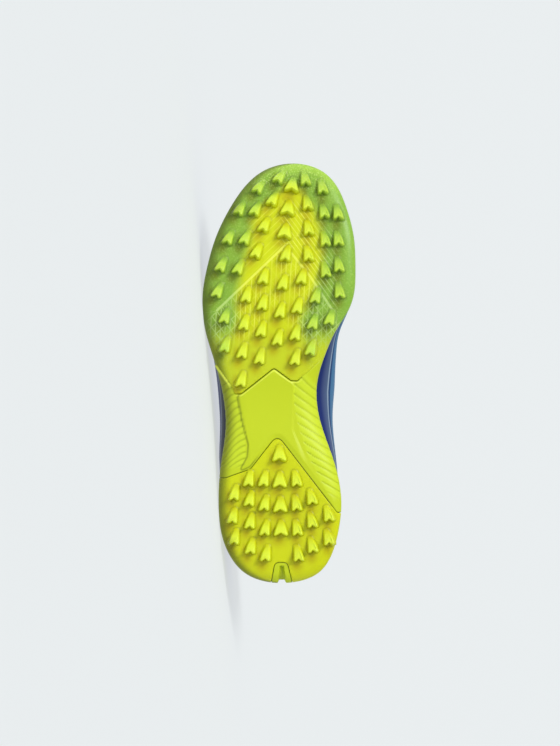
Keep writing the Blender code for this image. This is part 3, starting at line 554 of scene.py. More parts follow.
def lower_skin(way, depth, edge_steps, flat_columns):
    """The sole's lower surface as rows from toe to heel and columns from the medial to the lateral edge."""
    columns = []
    turns = np.linspace(math.pi / 2, 0, edge_steps + 1)
    for turn in turns:
        columns.append(lower_edge(*edge_at(way, 1), turn, depth))
    a, b = (lower_edge(*edge_at(way, side), 0.0, flush)[:, :2] for side in (1, -1))
    for k in range(1, flat_columns):
        q = a + (b - a) * k / flat_columns
        columns.append(np.column_stack([q, tread_base(q[:, 0], q[:, 1]) + depth(q)]))
    for turn in turns[::-1]:
        columns.append(lower_edge(*edge_at(way, -1), turn, depth))
    return np.stack(columns, 1)


def inset_line(way, side, inset, height):
    """A line inside the outline by inset(share) at height(x)."""
    p, n = edge_at(way, side)
    q = p - n * inset(share_of(p[:, 0]))[:, None]
    return np.column_stack([q, height(q[:, 0])])


def rim_inset(extra=0.0):
    """How far the rim stands in from the outline, and further by extra, as a function of the share."""
    return lambda s: BALL_WIDTH * taper_at(s) + extra


def make_piece(name, verts, faces, values=None):
    """A mesh object from points in the shoe's frame, with its doubles merged and its faces outward."""
    mesh = bpy.data.meshes.new(name)
    faces = faces.tolist() if isinstance(faces, np.ndarray) else faces
    mesh.from_pydata(np.asarray(verts).tolist(), [], faces)
    for key, value in (values or {}).items():
        store(mesh, key, value)
    work = bmesh.new()
    work.from_mesh(mesh)
    bmesh.ops.remove_doubles(work, verts=work.verts, dist=WELD)
    bmesh.ops.dissolve_degenerate(work, edges=work.edges, dist=WELD / 10)
    bmesh.ops.recalc_face_normals(work, faces=work.faces)
    if work.calc_volume(signed=True) < 0:
        bmesh.ops.reverse_faces(work, faces=work.faces)
    for face in work.faces:
        face.smooth = True
    work.to_mesh(mesh)
    work.free()
    made = bpy.data.objects.new(name, mesh)
    bpy.context.scene.collection.objects.link(made)
    return made


def store(mesh, key, value):
    """Keeps a number for each point of a mesh."""
    held = mesh.attributes.new(key, "FLOAT", "POINT")
    held.data.foreach_set("value", np.asarray(value, np.float32).ravel())


def points_of(mesh):
    """A mesh's points as rows of three."""
    co = np.zeros(len(mesh.vertices) * 3, np.float32)
    mesh.vertices.foreach_get("co", co)
    return co.reshape(-1, 3).astype(float)


def skin_faces(rows, columns, ring=False):
    """Faces of a grid whose columns run round; its rows run round too if it is a ring."""
    r, c = np.meshgrid(np.arange(rows if ring else rows - 1), np.arange(columns), indexing="ij")
    a = r * columns + c
    b = r * columns + (c + 1) % columns
    up = (r + 1) % rows
    return np.stack([a, b, up * columns + (c + 1) % columns, up * columns + c], -1).reshape(-1, 4)


def skin(name, grid, ring=False, **values):
    """A closed piece from a grid of points whose columns run round it."""
    rows, columns = grid.shape[:2]
    return make_piece(name, grid.reshape(-1, 3), skin_faces(rows, columns, ring), values)


def rounded(points, corner_steps=CORNER_STEPS):
    """A path with its corners rounded, from rows of point and radius."""
    path = []
    for i, (p, radius) in enumerate(points):
        if radius == 0:
            path.append(p)
            continue
        before_point, after_point = points[i - 1][0], points[(i + 1) % len(points)][0]
        before = (before_point - p).normalized()
        after = (after_point - p).normalized()
        reach = radius / math.tan(before.angle(after) / 2)
        reach = min(reach, 0.45 * min((before_point - p).length, (after_point - p).length))
        a, b = p + before * reach, p + after * reach
        for k in range(corner_steps + 1):
            t = k / corner_steps
            path.append(a * (1 - t) ** 2 + p * 2 * t * (1 - t) + b * t * t)
    return path


def border(rows):
    """A rounded path in the shoe's plan, from rows of share, across and radius."""
    corners = [Vector((r.share * LENGTH, r.across * BALL_WIDTH)) for r in rows]
    return rounded([(corner, r.radius * BALL_WIDTH) for corner, r in zip(corners, rows)])


def side_distance(q, path, closed=False):
    """Distance of plan points from a path: positive on its left, or inside it if it is closed."""
    points = np.array([tuple(p) for p in path])
    if closed:
        points = np.vstack([points, points[:1]])
    best = np.full(len(q), 1e9)
    sign = np.ones(len(q))
    inside = np.zeros(len(q), bool)
    for a, b in zip(points, points[1:]):
        run = b - a
        length = run @ run
        if length < 1e-16:
            continue
        t = np.clip(((q - a) @ run) / length, 0, 1)
        d = np.linalg.norm(q - a - t[:, None] * run, axis=1)
        cross = run[0] * (q[:, 1] - a[1]) - run[1] * (q[:, 0] - a[0])
        nearer = d < best - 1e-9
        best[nearer] = d[nearer]
        sign[nearer] = np.sign(cross[nearer])
        spans = (a[1] > q[:, 1]) != (b[1] > q[:, 1])
        rise = b[1] - a[1] if b[1] != a[1] else 1e-12
        inside ^= spans & (q[:, 0] < a[0] + run[0] * (q[:, 1] - a[1]) / rise)
    if closed:
        return np.where(inside, best, -best)
    return best * sign


FOREFOOT_LINE = border(FOREFOOT_BORDER)
HEEL_LINE = border(HEEL_BORDER)
NOTCH_LINE = border(HEEL_NOTCH)
PANEL_LINE = border(BRIDGE_PANEL)


def row_reach(row, x):
    """How far in from the outline a flank's ribs reach."""
    shares, reaches = zip(*(LATERAL_REACH if row.side < 0 else MEDIAL_REACH))
    return BALL_WIDTH * np.interp(share_of(x), shares, reaches)


def edge_y(x, side):
    """How far to the side the outline lies at a place along the shoe."""
    points = SIDES[side][1]
    order = np.argsort(points[:, 0])
    return np.interp(x, points[order, 0], points[order, 1])


def flank_depth(q):
    """Depth of the flanks' grooves at plan points, how strongly they are ribbed, and the grooves alone, for
    their painted shade.
    """
    depth = np.zeros(len(q))
    held = np.zeros(len(q))
    cut = np.zeros(len(q))
    for row in FLANKS:
        x, y = q[:, 0], q[:, 1]
        inward = row.side * (edge_y(x, row.side) - y)
        reach = row_reach(row, x)
        away = np.clip(reach - inward, 0, None)
        phase = (x + row.slant * away + row.bend * away**2) / row.spacing
        groove = 1 - blend(0.0, row.width, np.abs((phase % 1) - 0.5))
        on = blend(0.0, 1.6 * MM, reach - inward) * blend(-0.6 * MM, 1.5 * MM, inward)
        centre_x = x + row.slant * away
        on = on * blend(row.last * LENGTH, row.last * LENGTH + 4 * MM, centre_x)
        on = on * (1 - blend(row.first * LENGTH - 4 * MM, row.first * LENGTH, centre_x))
        depth = np.maximum(depth, groove * on * RIB_GROOVE)
        held = np.maximum(held, on)
        cut = np.maximum(cut, groove * on)
    return depth, held, cut


def dive(ahead, crisp):
    """How far the foam has dropped away to the rubber's seat: ahead is the way in under the rubber's border.

    Where the joint is crisp, it opens as a groove before the border; elsewhere the foam stays flush with it.
    """
    start = -(0.10 + 0.60 * crisp) * MM
    end = (0.50 - 0.25 * crisp) * MM
    return blend(0, 1, (ahead - start) / (end - start))


def notch_groove(q, notch):
    """1 in the upright groove of the heel's arch, from the points' distance inside the arch."""
    half = NOTCH_WIDTH / 2 * (1 - 0.5 * blend(2 * MM, 11 * MM, q[:, 0]))
    across = np.abs(q[:, 1] - NOTCH_CENTRE * BALL_WIDTH)
    return (1 - blend(half - 0.5 * MM, half + 0.7 * MM, across)) * blend(2.2 * MM, 3.6 * MM, notch)


def ridge_line(ahead, across):
    """1 on the ridge where the lateral flank meets the forefoot rubber, which also gets a painted highlight.
    """
    crest = np.clip(1 - np.abs(-ahead - RIDGE_HALF) / RIDGE_HALF, 0, 1)
    return crest * (2 - crest) * (1 - blend(-0.34, -0.31, across)) * blend(-0.48, -0.44, across)


def lip_line(ahead, crisp):
    """1 on the rolled lip along the forefoot rubber, which also gets a painted highlight."""
    bead = np.clip(1 - np.abs(-ahead - LIP_BACK - LIP_WIDTH / 2) / (LIP_WIDTH / 2), 0, 1)
    return bead * (2 - bead) * crisp


def lateral_shade(co):
    """How far a point lies round the lateral lower edge, where the sole turns away from the light."""
    inward = co[:, 1] - edge_y(co[:, 0], -1)
    tall = co[:, 2] - tread_base(co[:, 0], co[:, 1])
    return (1 - blend(1 * MM, FLANK_SHADE, inward)) * (1 - blend(0.6 * FLANK_TALL, FLANK_TALL, tall))


def bridge_step(q, panel, behind):
    """Rises from 0 to 1 over the bridge panel's edge, more gently beside and medial to the heel's rubber."""
    arm = blend(0.12, 0.20, q[:, 1] / BALL_WIDTH) * (1 - blend(0.28, 0.32, share_of(q[:, 0])))
    gentle = 1 + 2.2 * blend(-11 * MM, -5 * MM, behind) + 4 * arm
    return blend(-0.45 * MM, 0.75 * MM, panel / gentle)


def foam_borders(q):
    """Where plan points lie to the foam's borders.

    Across the shoe, the way in under the forefoot's rubber and under the heel's, the way into the notch and
    the bridge panel, and how crisp the joint along the forefoot's rubber is: only along the bridge.
    """
    across = q[:, 1] / BALL_WIDTH
    ahead = -side_distance(q, FOREFOOT_LINE)
    notch = side_distance(q, NOTCH_LINE, closed=True)
    behind = np.minimum(side_distance(q, HEEL_LINE), -notch)
    panel = side_distance(q, PANEL_LINE, closed=True)
    crisp = blend(-0.31, -0.27, across) * (1 - blend(0.11, 0.15, across))
    return across, ahead, behind, notch, panel, crisp


def midsole_depth(q):
    """Depth of the midsole's lower face below the sole's lower surface."""
    across, ahead, behind, notch, panel, crisp = foam_borders(q)
    under = np.maximum(dive(ahead, crisp), dive(behind, HEEL_CRISP))
    depth = under * (RUBBER + GAP)
    depth = depth - BRIDGE_PROUD * bridge_step(q, panel, behind) * (1 - under)
    depth = depth - LIP_BEAD * lip_line(ahead, crisp) - LIP_RIDGE * ridge_line(ahead, across)
    depth = depth + flank_depth(q)[0] * (1 - under)
    return depth + NOTCH_GROOVE * notch_groove(q, notch)


def even_ways(count, *fine):
    """Shares of the way from toe to heel, closer together in the fine stretches: first, last and weight."""
    way = np.linspace(0, 1, 4001)
    density = np.ones_like(way)
    for first, last, weight in fine:
        density += (weight - 1) * blend(first - 0.02, first, way) * (1 - blend(last, last + 0.02, way))
    run = np.concatenate([[0], np.cumsum((density[1:] + density[:-1]) / 2)])
    return np.interp(np.linspace(0, run[-1], count), run, way)


def build_midsole():
    """The foam midsole: a low relief beneath, the side wall, the rolled rim and the footbed."""
    way = even_ways(WAIST_ROWS, (0.37, 0.84, 3.4), (0.93, 1.0, 3.4))
    low = lower_skin(way, midsole_depth, WAIST_EDGE_STEPS, WAIST_COLUMNS)

    def lip(x, down=0.0):
        return feather(x) + RIM_LIP - down

    sides = {}
    for side in (1, -1):
        start = low[:, 0 if side > 0 else -1]
        band = start + np.array([0, 0, SIDE_BAND])
        top = inset_line(way, side, rim_inset(), lambda x: lip(x, ROUND_LIP))
        wall = [start + (band - start) * t for t in (0.34, 0.67, 1.0)]
        for t in (0.15, 0.3, 0.5, 0.7, 0.85, 1.0):
            wall.append(band + (top - band) * t)
        for inset, down in ((0.2, 0.18), (0.6, 0.0), (1.8, 0.0), (2.2, 0.18), (2.4, 0.6)):
            wall.append(inset_line(way, side, rim_inset(inset * MM), lambda x, d=down: lip(x, d * MM)))
        wall.append(inset_line(way, side, rim_inset(RIM_WALL), feather))
        sides[side] = wall
    a, b = sides[-1][-1], sides[1][-1]
    bed = [a + (b - a) * k / 6 for k in range(1, 6)]
    bed = [np.column_stack([line[:, :2], feather(line[:, 0])]) for line in bed]
    loop = [low[:, k] for k in range(low.shape[1])] + sides[-1] + bed + sides[1][::-1]
    grid = np.stack(loop, 1)
    made = skin("midsole_foam", grid)
    mark_midsole(made)
    return made


def mark_midsole(made):
    """Foam colour marks: ribs, painted shade in grooves, joints, painted lip highlights and the shaded
    lateral edge.
    """
    co = points_of(made.data)
    q = co[:, :2]
    _, ribs, cut = flank_depth(q)
    across, ahead, behind, notch, panel, crisp = foam_borders(q)
    joint = crisp * (1 - blend(0.2 * MM, 0.75 * MM, np.abs(ahead + 0.25 * MM)))
    joint = np.maximum(joint, 1 - blend(0.15 * MM, 0.7 * MM, np.abs(behind + 0.2 * MM)))
    # painted shade in the notch's groove and along the bridge panel's lateral edge goes into the joints'
    # mark
    joint = np.maximum(joint, 0.3 * notch_groove(q, notch))
    edge = (1 - blend(0.0, 0.95 * MM, np.abs(panel + 0.3 * MM))) * (1 - blend(-0.18, -0.12, across))
    low = blend(0, 1.5 * MM, LUG_HEIGHT + 40 * MM - co[:, 2])
    marks = {
        "ribs": ribs,
        # painted shade in the rib grooves
        "cut": cut,
        "joint": np.maximum(joint, 0.7 * edge) * low,
        # painted highlight on the rolled lip and the ridge
        "bright": np.maximum(lip_line(ahead, crisp), ridge_line(ahead, across)),
        "lateral_shade": lateral_shade(co),
    }
    for name, value in marks.items():
        store(made.data, name, value)


def lug_places():
    """Centre, lean and form of every lug."""
    found = []
    for row in LUG_ROWS:
        for k in range(row.count):
            t = k / max(1, row.count - 1)
            weights = ((1 - t) * (1 - 2 * t), 4 * t * (1 - t), t * (2 * t - 1))
            x = LENGTH * (weights[0] * row.x0 + weights[1] * row.x1 + weights[2] * row.x2)
            y = BALL_WIDTH * (weights[0] * row.y0 + weights[1] * row.y1 + weights[2] * row.y2)
            found.append((x, y, row.lean, row.form))
    return found


def lug_shape(form):
    """One moulded lug on z = 0 with its front along +X: a flared root, steep back and ramped front."""
    width = ARROW_WIDTH if form == "arrow" else LUG_WIDTH
    flip = 1 if form.endswith("_flip") else -1
    corners = [Vector((u * LUG_LENGTH, v * width * flip)) for u, v in LUG_FORMS[form.replace("_flip", "")]]
    path = rounded([(c, LUG_CORNER) for c in corners], 3)
    points = np.array([tuple(p) for p in path + path[:1]])
    run = run_of(points)
    wanted = np.linspace(0, run[-1], LUG_POINTS + 1)[:-1]
    outline = np.stack([np.interp(wanted, run, points[:, k]) for k in (0, 1)], 1)
    tangent = np.roll(outline, -1, 0) - np.roll(outline, 1, 0)
    tangent /= np.linalg.norm(tangent, axis=1)[:, None]
    after = np.roll(outline, -1, 0)
    turning = np.sum(outline[:, 0] * after[:, 1] - outline[:, 1] * after[:, 0])
    normal = np.stack([tangent[:, 1], -tangent[:, 0]], 1) * np.sign(turning)
    verts, tips = [], []
    for ring in LUG_RINGS:
        q = outline + normal * ring.grow
        forward = q[:, 0] / LUG_LENGTH
        height = LUG_HEIGHT * (1 - (1 - LUG_FRONT) * blend(-0.30, 0.66, forward))
        z = height * ring.share + ring.more
        verts.append(np.column_stack([q, z]))
        tips.append(np.clip(z / LUG_HEIGHT, 0, 1))
    grid = np.concatenate(verts)
    faces = skin_faces(len(LUG_RINGS), LUG_POINTS).tolist()
    faces.append(tuple(range(LUG_POINTS)))
    faces.append(tuple(range((len(LUG_RINGS) - 1) * LUG_POINTS, len(LUG_RINGS) * LUG_POINTS)))
    return make_piece("lug_" + form, grid, faces, {"tip": np.concatenate(tips)})


def first_output(node):
    """The first output of a node that is in use."""
    return next(end for end in node.outputs if end.enabled)


def add(tree, kind, inputs=None, **settings):
    """Adds a node with its settings, input values and links.

    A node as an input's value is linked by its first output in use, and a hex colour is made linear.
    """
    made = tree.nodes.new(kind)
    for key, value in settings.items():
        setattr(made, key, value)
    for key, value in (inputs or {}).items():
        if isinstance(value, bpy.types.Node):
            value = first_output(value)
        if isinstance(value, str) and value.startswith("#"):
            value = srgb(value)
        if isinstance(value, bpy.types.NodeSocket):
            tree.links.new(value, made.inputs[key])
        else:
            made.inputs[key].default_value = value
    return made


def copies_tree(name, shapes, material):
    """A node tree that puts copies of shapes on points, by each point's kind of shape and its turn."""
    tree = bpy.data.node_groups.new(name, "GeometryNodeTree")
    tree.interface.new_socket("Places", in_out="INPUT", socket_type="NodeSocketGeometry")
    size = tree.interface.new_socket("Size", in_out="INPUT", socket_type="NodeSocketFloat")
    size.default_value = 1.0
    tree.interface.new_socket("Copies", in_out="OUTPUT", socket_type="NodeSocketGeometry")
    start = add(tree, "NodeGroupInput")
    turn = add(tree, "GeometryNodeInputNamedAttribute", {"Name": "turn"}, data_type="FLOAT_VECTOR")
    kind = add(tree, "GeometryNodeInputNamedAttribute", {"Name": "kind"}, data_type="FLOAT")
    facing = add(tree, "FunctionNodeEulerToRotation", {"Euler": turn.outputs["Attribute"]})
    joined = add(tree, "GeometryNodeJoinGeometry")
    for number, shape in enumerate(shapes):
        at = {0: kind.outputs["Attribute"], 1: float(number)}
        mine = add(tree, "FunctionNodeCompare", at, data_type="FLOAT", operation="EQUAL")
        source = add(tree, "GeometryNodeObjectInfo", {"Object": shape})
        made = add(tree, "GeometryNodeInstanceOnPoints", {
            "Points": start.outputs["Places"],
            "Selection": mine.outputs["Result"],
            "Instance": source.outputs["Geometry"],
            "Rotation": facing.outputs["Rotation"],
            "Scale": start.outputs["Size"],
        })
        tree.links.new(made.outputs["Instances"], joined.inputs["Geometry"])
    real = add(tree, "GeometryNodeRealizeInstances", {"Geometry": joined.outputs["Geometry"]})
    finish = {"Geometry": real.outputs["Geometry"], "Material": material}
    painted = add(tree, "GeometryNodeSetMaterial", finish)
    add(tree, "NodeGroupOutput", {"Copies": painted.outputs["Geometry"]})
    return tree, size.identifier


def place_copies(name, places, shapes, material, size=1.0):
    """Copies of the shapes as one plain mesh. places: rows of position, rotation matrix and kind."""
    mesh = bpy.data.meshes.new(name)
    mesh.from_pydata([tuple(p) for p, _, _ in places], [], [])
    turns = mesh.attributes.new("turn", "FLOAT_VECTOR", "POINT")
    turns.data.foreach_set("vector", [v for _, m, _ in places for v in m.to_euler()])
    store(mesh, "kind", [k for _, _, k in places])
    made = bpy.data.objects.new(name, mesh)
    bpy.context.scene.collection.objects.link(made)
    tree, size_input = copies_tree(name, shapes, material)
    modifier = made.modifiers.new("copies", "NODES")
    modifier.node_group = tree
    modifier[size_input] = size
    made_plain(made)
    for face in made.data.polygons:
        face.use_smooth = True
    for shape in shapes:
        bpy.data.objects.remove(shape)
    return made


def made_plain(made):
    """The modified object as a plain mesh, without its modifiers."""
    graph = bpy.context.evaluated_depsgraph_get()
    mesh = bpy.data.meshes.new_from_object(made.evaluated_get(graph))
    made.modifiers.clear()
    made.data = mesh
    return made


def clip(target, plan, operation):
    """Cuts a piece with an upright prism over a plan polygon."""
    count = len(plan)
    verts = [(p.x, p.y, z) for z in (CUT_LOW, CUT_HIGH) for p in plan]
    faces = [tuple(range(count)), tuple(range(count, 2 * count))]
    faces += [(i, (i + 1) % count, count + (i + 1) % count, count + i) for i in range(count)]
    cutter = make_piece("cutter", verts, faces)
    modifier = target.modifiers.new(operation, "BOOLEAN")
    modifier.operation = operation
    modifier.solver = "EXACT"
    modifier.object = cutter
    made_plain(target)
    bpy.data.objects.remove(cutter)
    return target


def join(target, other):
    """Joins another piece's mesh to a piece, with its values for each point."""
    work = bmesh.new()
    work.from_mesh(target.data)
    work.from_mesh(other.data)
    for face in work.faces:
        face.smooth = True
    work.to_mesh(target.data)
    work.free()
    bpy.data.objects.remove(other)
    return target


def lug_pose(x, y, lean):
    """Place and rotation of a lug: upright on the sole's lower surface, its front turned by lean degrees."""
    step = 1 * MM
    slope_x = float(tread_base(x + step, y) - tread_base(x - step, y)) / (2 * step)
    slope_y = float(tread_base(x, y + step) - tread_base(x, y - step)) / (2 * step)
    outward = Vector((slope_x, slope_y, -1)).normalized()
    forward = Vector((math.cos(math.radians(lean)), math.sin(math.radians(lean)), 0))
    forward = (forward - outward * forward.dot(outward)).normalized()
    across = outward.cross(forward)
    return (x, y, float(tread_base(x, y))), Matrix((forward, across, outward)).transposed()


def build_tread(name, plan, notch, lugs, material):
    """One rubber tread: a sheet on the sole's lower surface, clipped to its border, with its lugs."""
    way = even_ways(TREAD_ROWS)
    outer = lower_skin(way, flush, EDGE_STEPS, TREAD_COLUMNS)
    inner = lower_skin(way, lambda q: flush(q) + RUBBER, 4, 6)
    made = skin(name, np.concatenate([outer, inner[:, ::-1]], 1))
    clip(made, plan, "INTERSECT")
    if notch:
        clip(made, notch, "DIFFERENCE")
    store(made.data, "tip", np.zeros(len(made.data.vertices)))
    forms = ("side", "side_flip", "arrow")
    shapes = [lug_shape(f) for f in forms]
    places = [(*lug_pose(x, y, lean), forms.index(form)) for x, y, lean, form in lugs]
    join(made, place_copies("lugs", places, shapes, material))
    mark_tread(made, lugs)
    made.data.materials.clear()
    made.data.materials.append(material)
    return made


def lug_shade(q, lugs):
    """1 in the shade that lugs throw on the rubber behind them and on their lateral side."""
    shade = np.zeros(len(q))
    for x, y, lean, form in lugs:
        c, d = math.cos(math.radians(lean)), math.sin(math.radians(lean))
        u = (q[:, 0] - x) * c + (q[:, 1] - y) * d
        v = -(q[:, 0] - x) * d + (q[:, 1] - y) * c
        wide = (ARROW_WIDTH if form == "arrow" else LUG_WIDTH) * LUG_SPREAD
        back = (u + BEHIND_BACK * LUG_LENGTH) / BEHIND_LONG
        out = (v + BEHIND_OUT) / (BEHIND_WIDE * wide)
        shade = np.maximum(shade, np.exp(-(back**2) - out**2))
        back = (u + BESIDE_BACK * LUG_LENGTH) / BESIDE_LONG
        out = (v + wide + BESIDE_OUT) / BESIDE_WIDE
        shade = np.maximum(shade, BESIDE_SHARE * np.exp(-(back**2) - out**2))
    return shade


def mark_tread(made, lugs):
    """What the rubber's colours follow: the yellow core, the shade of lugs, and the fields of fine lines."""
    co = points_of(made.data)
    q = co[:, :2]
    s = q[:, 0] / LENGTH
    w = q[:, 1] / BALL_WIDTH
    rows = sorted(GOLD_FIELD, key=lambda r: r.share)
    shares = [r.share for r in rows]
    lateral = np.interp(s, shares, [r.lateral for r in rows])
    medial = np.interp(s, shares, [r.medial for r in rows])
    soft = GOLD_SOFT / BALL_WIDTH
    core = blend(-soft, soft, w - lateral) * blend(-soft, soft, medial - w)
    inward = np.minimum(edge_y(q[:, 0], 1) - q[:, 1], q[:, 1] - edge_y(q[:, 0], -1))
    vee = [Vector((x * LENGTH, y * BALL_WIDTH)) for x, y in (VEE_LATERAL, VEE_TIP, VEE_BOW, VEE_MEDIAL)]
    behind = side_distance(q, vee)
    net = blend(0.2 * MM, 0.8 * MM, behind) * (1 - blend(22 * MM, 36 * MM, behind))
    ahead = blend(0.5 * MM, 2 * MM, -behind) * (1 - blend(26 * MM, 34 * MM, -behind))
    ahead = ahead * (1 - blend(0.93, 0.96, s))
    marks = {
        "plan_x": q[:, 0] / PLAN_UNIT,
        "plan_y": q[:, 1] / PLAN_UNIT,
        "gold": core * (1 - blend(0.945, 0.965, s)),
        "waist": 1 - blend(0.545, 0.625, s),
        "shade": lug_shade(q, lugs),
        "rim": 1 - blend(3 * MM, 9 * MM, np.minimum(inward, LENGTH - q[:, 0])),
        "toe": blend(0.90, 0.985, s),
        "lateral_shade": lateral_shade(co),
        "arm": np.where(q[:, 0] > vee[0].x - 1 * MM, behind / MM, VEE_FAR),
        "net": net * blend(0.545, 0.60, s),
        "rays_medial": ahead * blend(-0.02, 0.06, w) * (1 - blend(0.34, 0.40, w)),
        "rays_lateral": ahead * blend(0.0, 0.08, 0.05 - w) * blend(-0.30, -0.16, w),
    }
    for name, value in marks.items():
        store(made.data, name, value)


def meridians(way, side, low, high):
    """The upper's outer lines from feather edge to throat or collar, one for each share of the way."""
    p, n = edge_at(way, side)
    at = {name: f(way) for name, f in UPPER_AT.items()}
    up = np.array([0, 0, 1.0])
    n3 = np.column_stack([n, 0 * way])
    foot = p - n * rim_inset(RIM_WALL + GAP)(share_of(p[:, 0]))[:, None]
    ground = feather(foot[:, 0])
    first = np.column_stack([foot, ground + GAP])
    stand = np.column_stack([foot, ground + RIM_LIP + 2 * GAP])
    out = at["out_medial"] if side > 0 else at["out_lateral"]
    wide = np.column_stack([p + n * (out * BALL_WIDTH)[:, None], stand[:, 2] + at["up"] * INSTEP_HEIGHT])
    edge = np.column_stack([
        at["edge_x"] * LENGTH,
        (at["shift"] + side * at["edge_y"]) * BALL_WIDTH,
        at["edge_z"] * INSTEP_HEIGHT,
    ])
    rise = (wide[:, 2] - stand[:, 2])[:, None]
    shoulder = wide + up * (at["lift"] * INSTEP_HEIGHT)[:, None]
    arrival = edge + n3 * (at["reach"] * BALL_WIDTH)[:, None] - up * (at["drop"] * INSTEP_HEIGHT)[:, None]

    def bezier(a, b, c, d, t):
        return a * (1 - t) ** 3 + b * 3 * (1 - t) ** 2 * t + c * 3 * (1 - t) * t * t + d * t**3

    leaving, reaching = stand + up * rise * 0.35, wide - up * rise * 0.5
    line = [first]
    line += [bezier(stand, leaving, reaching, wide, k / low) for k in range(low)]
    line += [bezier(wide, shoulder, arrival, edge, k / high) for k in range(high + 1)]
    return np.stack(line, 1)


def upper_grid():
    """The upper's outer face as a ring of lines round the shoe, with the outward normals."""
    way = np.linspace(0, 1, UPPER_STEPS + 1)
    medial = meridians(way, 1, UPPER_LOW, UPPER_HIGH)
    lateral = meridians(way[1:-1][::-1], -1, UPPER_LOW, UPPER_HIGH)
    grid = np.concatenate([medial, lateral])
    around = np.concatenate([way, way[1:-1][::-1]])
    side = np.concatenate([np.ones(len(way)), -np.ones(len(way) - 2)])
    along = np.roll(grid, -1, 0) - np.roll(grid, 1, 0)
    up = np.gradient(grid, axis=1)
    normal = np.cross(up, along)
    normal /= np.maximum(np.linalg.norm(normal, axis=2), 1e-12)[:, :, None]
    flat = np.concatenate([edge_at(way, 1)[1], edge_at(way[1:-1][::-1], -1)[1]])
    middle = UPPER_LOW + 1
    if np.sum(normal[:, middle, :2] * flat) < 0:
        normal = -normal
    normal[:, 0] = normal[:, 1] = np.column_stack([flat, 0 * around])
    return grid, normal, around, side


def upper_relief(around, share, grid):
    """How far the upper stands proud of its plain face: eyestay, overlays, collar roll and creases."""
    a = around[:, None]
    t = share[None, :]
    beside = blend(0.80, 0.835, t) * (1 - blend(0.56, 0.60, a))
    relief = EYESTAY_STEP * beside
    height = grid[:, :, 2] - feather(grid[:, :, 0])
    s = grid[:, :, 0] / LENGTH
    toe_top = 11 * MM + 26 * MM * blend(0.80, 1.0, s)
    toe = blend(0.0, 0.9 * MM, toe_top - height) * blend(0.60, 0.70, s)
    heel_top = 6 * MM + 34 * MM * (1 - blend(0.03, 0.34, s))
    heel = blend(0.0, 0.9 * MM, heel_top - height) * (1 - blend(0.28, 0.34, s))
    relief = relief + OVERLAY * np.maximum(toe, heel) * blend(0.05, 0.12, t)
    collar = blend(0.60, 0.66, a) * np.exp(-(((t - 0.86) / 0.11) ** 2))
    relief = relief + COLLAR_ROLL * collar
    crease = np.exp(-(((s - 0.715) / 0.008) ** 2)) + 0.7 * np.exp(-(((s - 0.742) / 0.007) ** 2))
    relief = relief - CREASE * crease * blend(0.42, 0.60, t) * (1 - blend(0.86, 0.95, t)) * (1 - beside)
    return relief


def build_upper():
    """The hollow upper: outer face with its overlays, rolled edge and lining."""
    grid, normal, around, side = upper_grid()
    top = grid.shape[1] - 1
    # share of the way up, by the solid's own 4 low and 6 high steps, so that its overlays start there too
    low_part = np.minimum(np.arange(top + 1) / (UPPER_LOW + 1), 1) * 4 / 10
    high_part = np.maximum(np.arange(top + 1) - UPPER_LOW - 1, 0) / UPPER_HIGH * 6 / 10
    share = low_part + high_part
    relief = upper_relief(around, share, grid)
    ease = 1 - blend(0.975, 1.0, share)[None, :] * 0.55
    outer = grid + normal * (relief * ease)[:, :, None]
    padded = blend(0.60, 0.68, around)[:, None] * blend(0.55, 0.80, share)[None, :]
    wall = (UPPER_WALL + (COLLAR_WALL - UPPER_WALL) * padded) * ease
    inner = grid - normal * wall[:, :, None]
    roll = (outer[:, -1:] + inner[:, -1:]) / 2
    up_edge = grid[:, -1:] - grid[:, -2:-1]
    up_edge /= np.linalg.norm(up_edge, axis=2)[:, :, None]
    roll = roll + up_edge * 0.5 * MM
    walls = np.concatenate([outer, roll, inner[:, ::-1]], 1)
    high_rise = 1 + np.arange(UPPER_HIGH + 1) / UPPER_HIGH
    rise = np.concatenate([[0], np.arange(UPPER_LOW) / UPPER_LOW, high_rise])
    lined = np.concatenate([0 * rise, [0.5], 0 * rise + 1])
    rises = np.concatenate([rise, [2.0], rise[::-1]])
    medial = blend(-0.12, 0.12, grid[:, :1, 1] / BALL_WIDTH - 0.03)
    marks = {"rise": rises, "lined": lined, "way": around[:, None], "side": medial}
    marks = {key: np.broadcast_to(value, walls.shape[:2]) for key, value in marks.items()}
    made = skin("upper_shell", walls, ring=True, **marks)
    return made, (outer, normal, around, side, share)


def build_insole():
    """The sockliner: a slightly cupped foam sheet on the footbed."""
    way = even_ways(INSOLE_ROWS)
    bed = lambda x: feather(x) + GAP
    base = RIM_WALL + 2 * GAP + UPPER_WALL
    sides = {}
    for side in (1, -1):
        lines = [inset_line(way, side, rim_inset(base + INSOLE_EDGE), bed)]
        lines.append(inset_line(way, side, rim_inset(base), bed))
        for up, inset in ((0.55, 0.0), (0.9, 0.25), (1.0, 0.8), (0.96, 2.0), (0.80, 4.0), (0.78, 6.0)):
            tall = (INSOLE_THICKNESS + INSOLE_LIP) * up
            lines.append(inset_line(way, side, rim_inset(base + inset * MM), lambda x, h=tall: bed(x) + h))
        sides[side] = lines
    loop = list(sides[1])
    a, b = sides[1][-1], sides[-1][-1]
    loop += [a + (b - a) * k / 10 for k in range(1, 10)]
    loop += sides[-1][::-1]
    a, b = sides[-1][0], sides[1][0]
    loop += [a + (b - a) * k / 4 for k in range(1, 4)]
    return skin("insole_sockliner", np.stack(loop, 1))


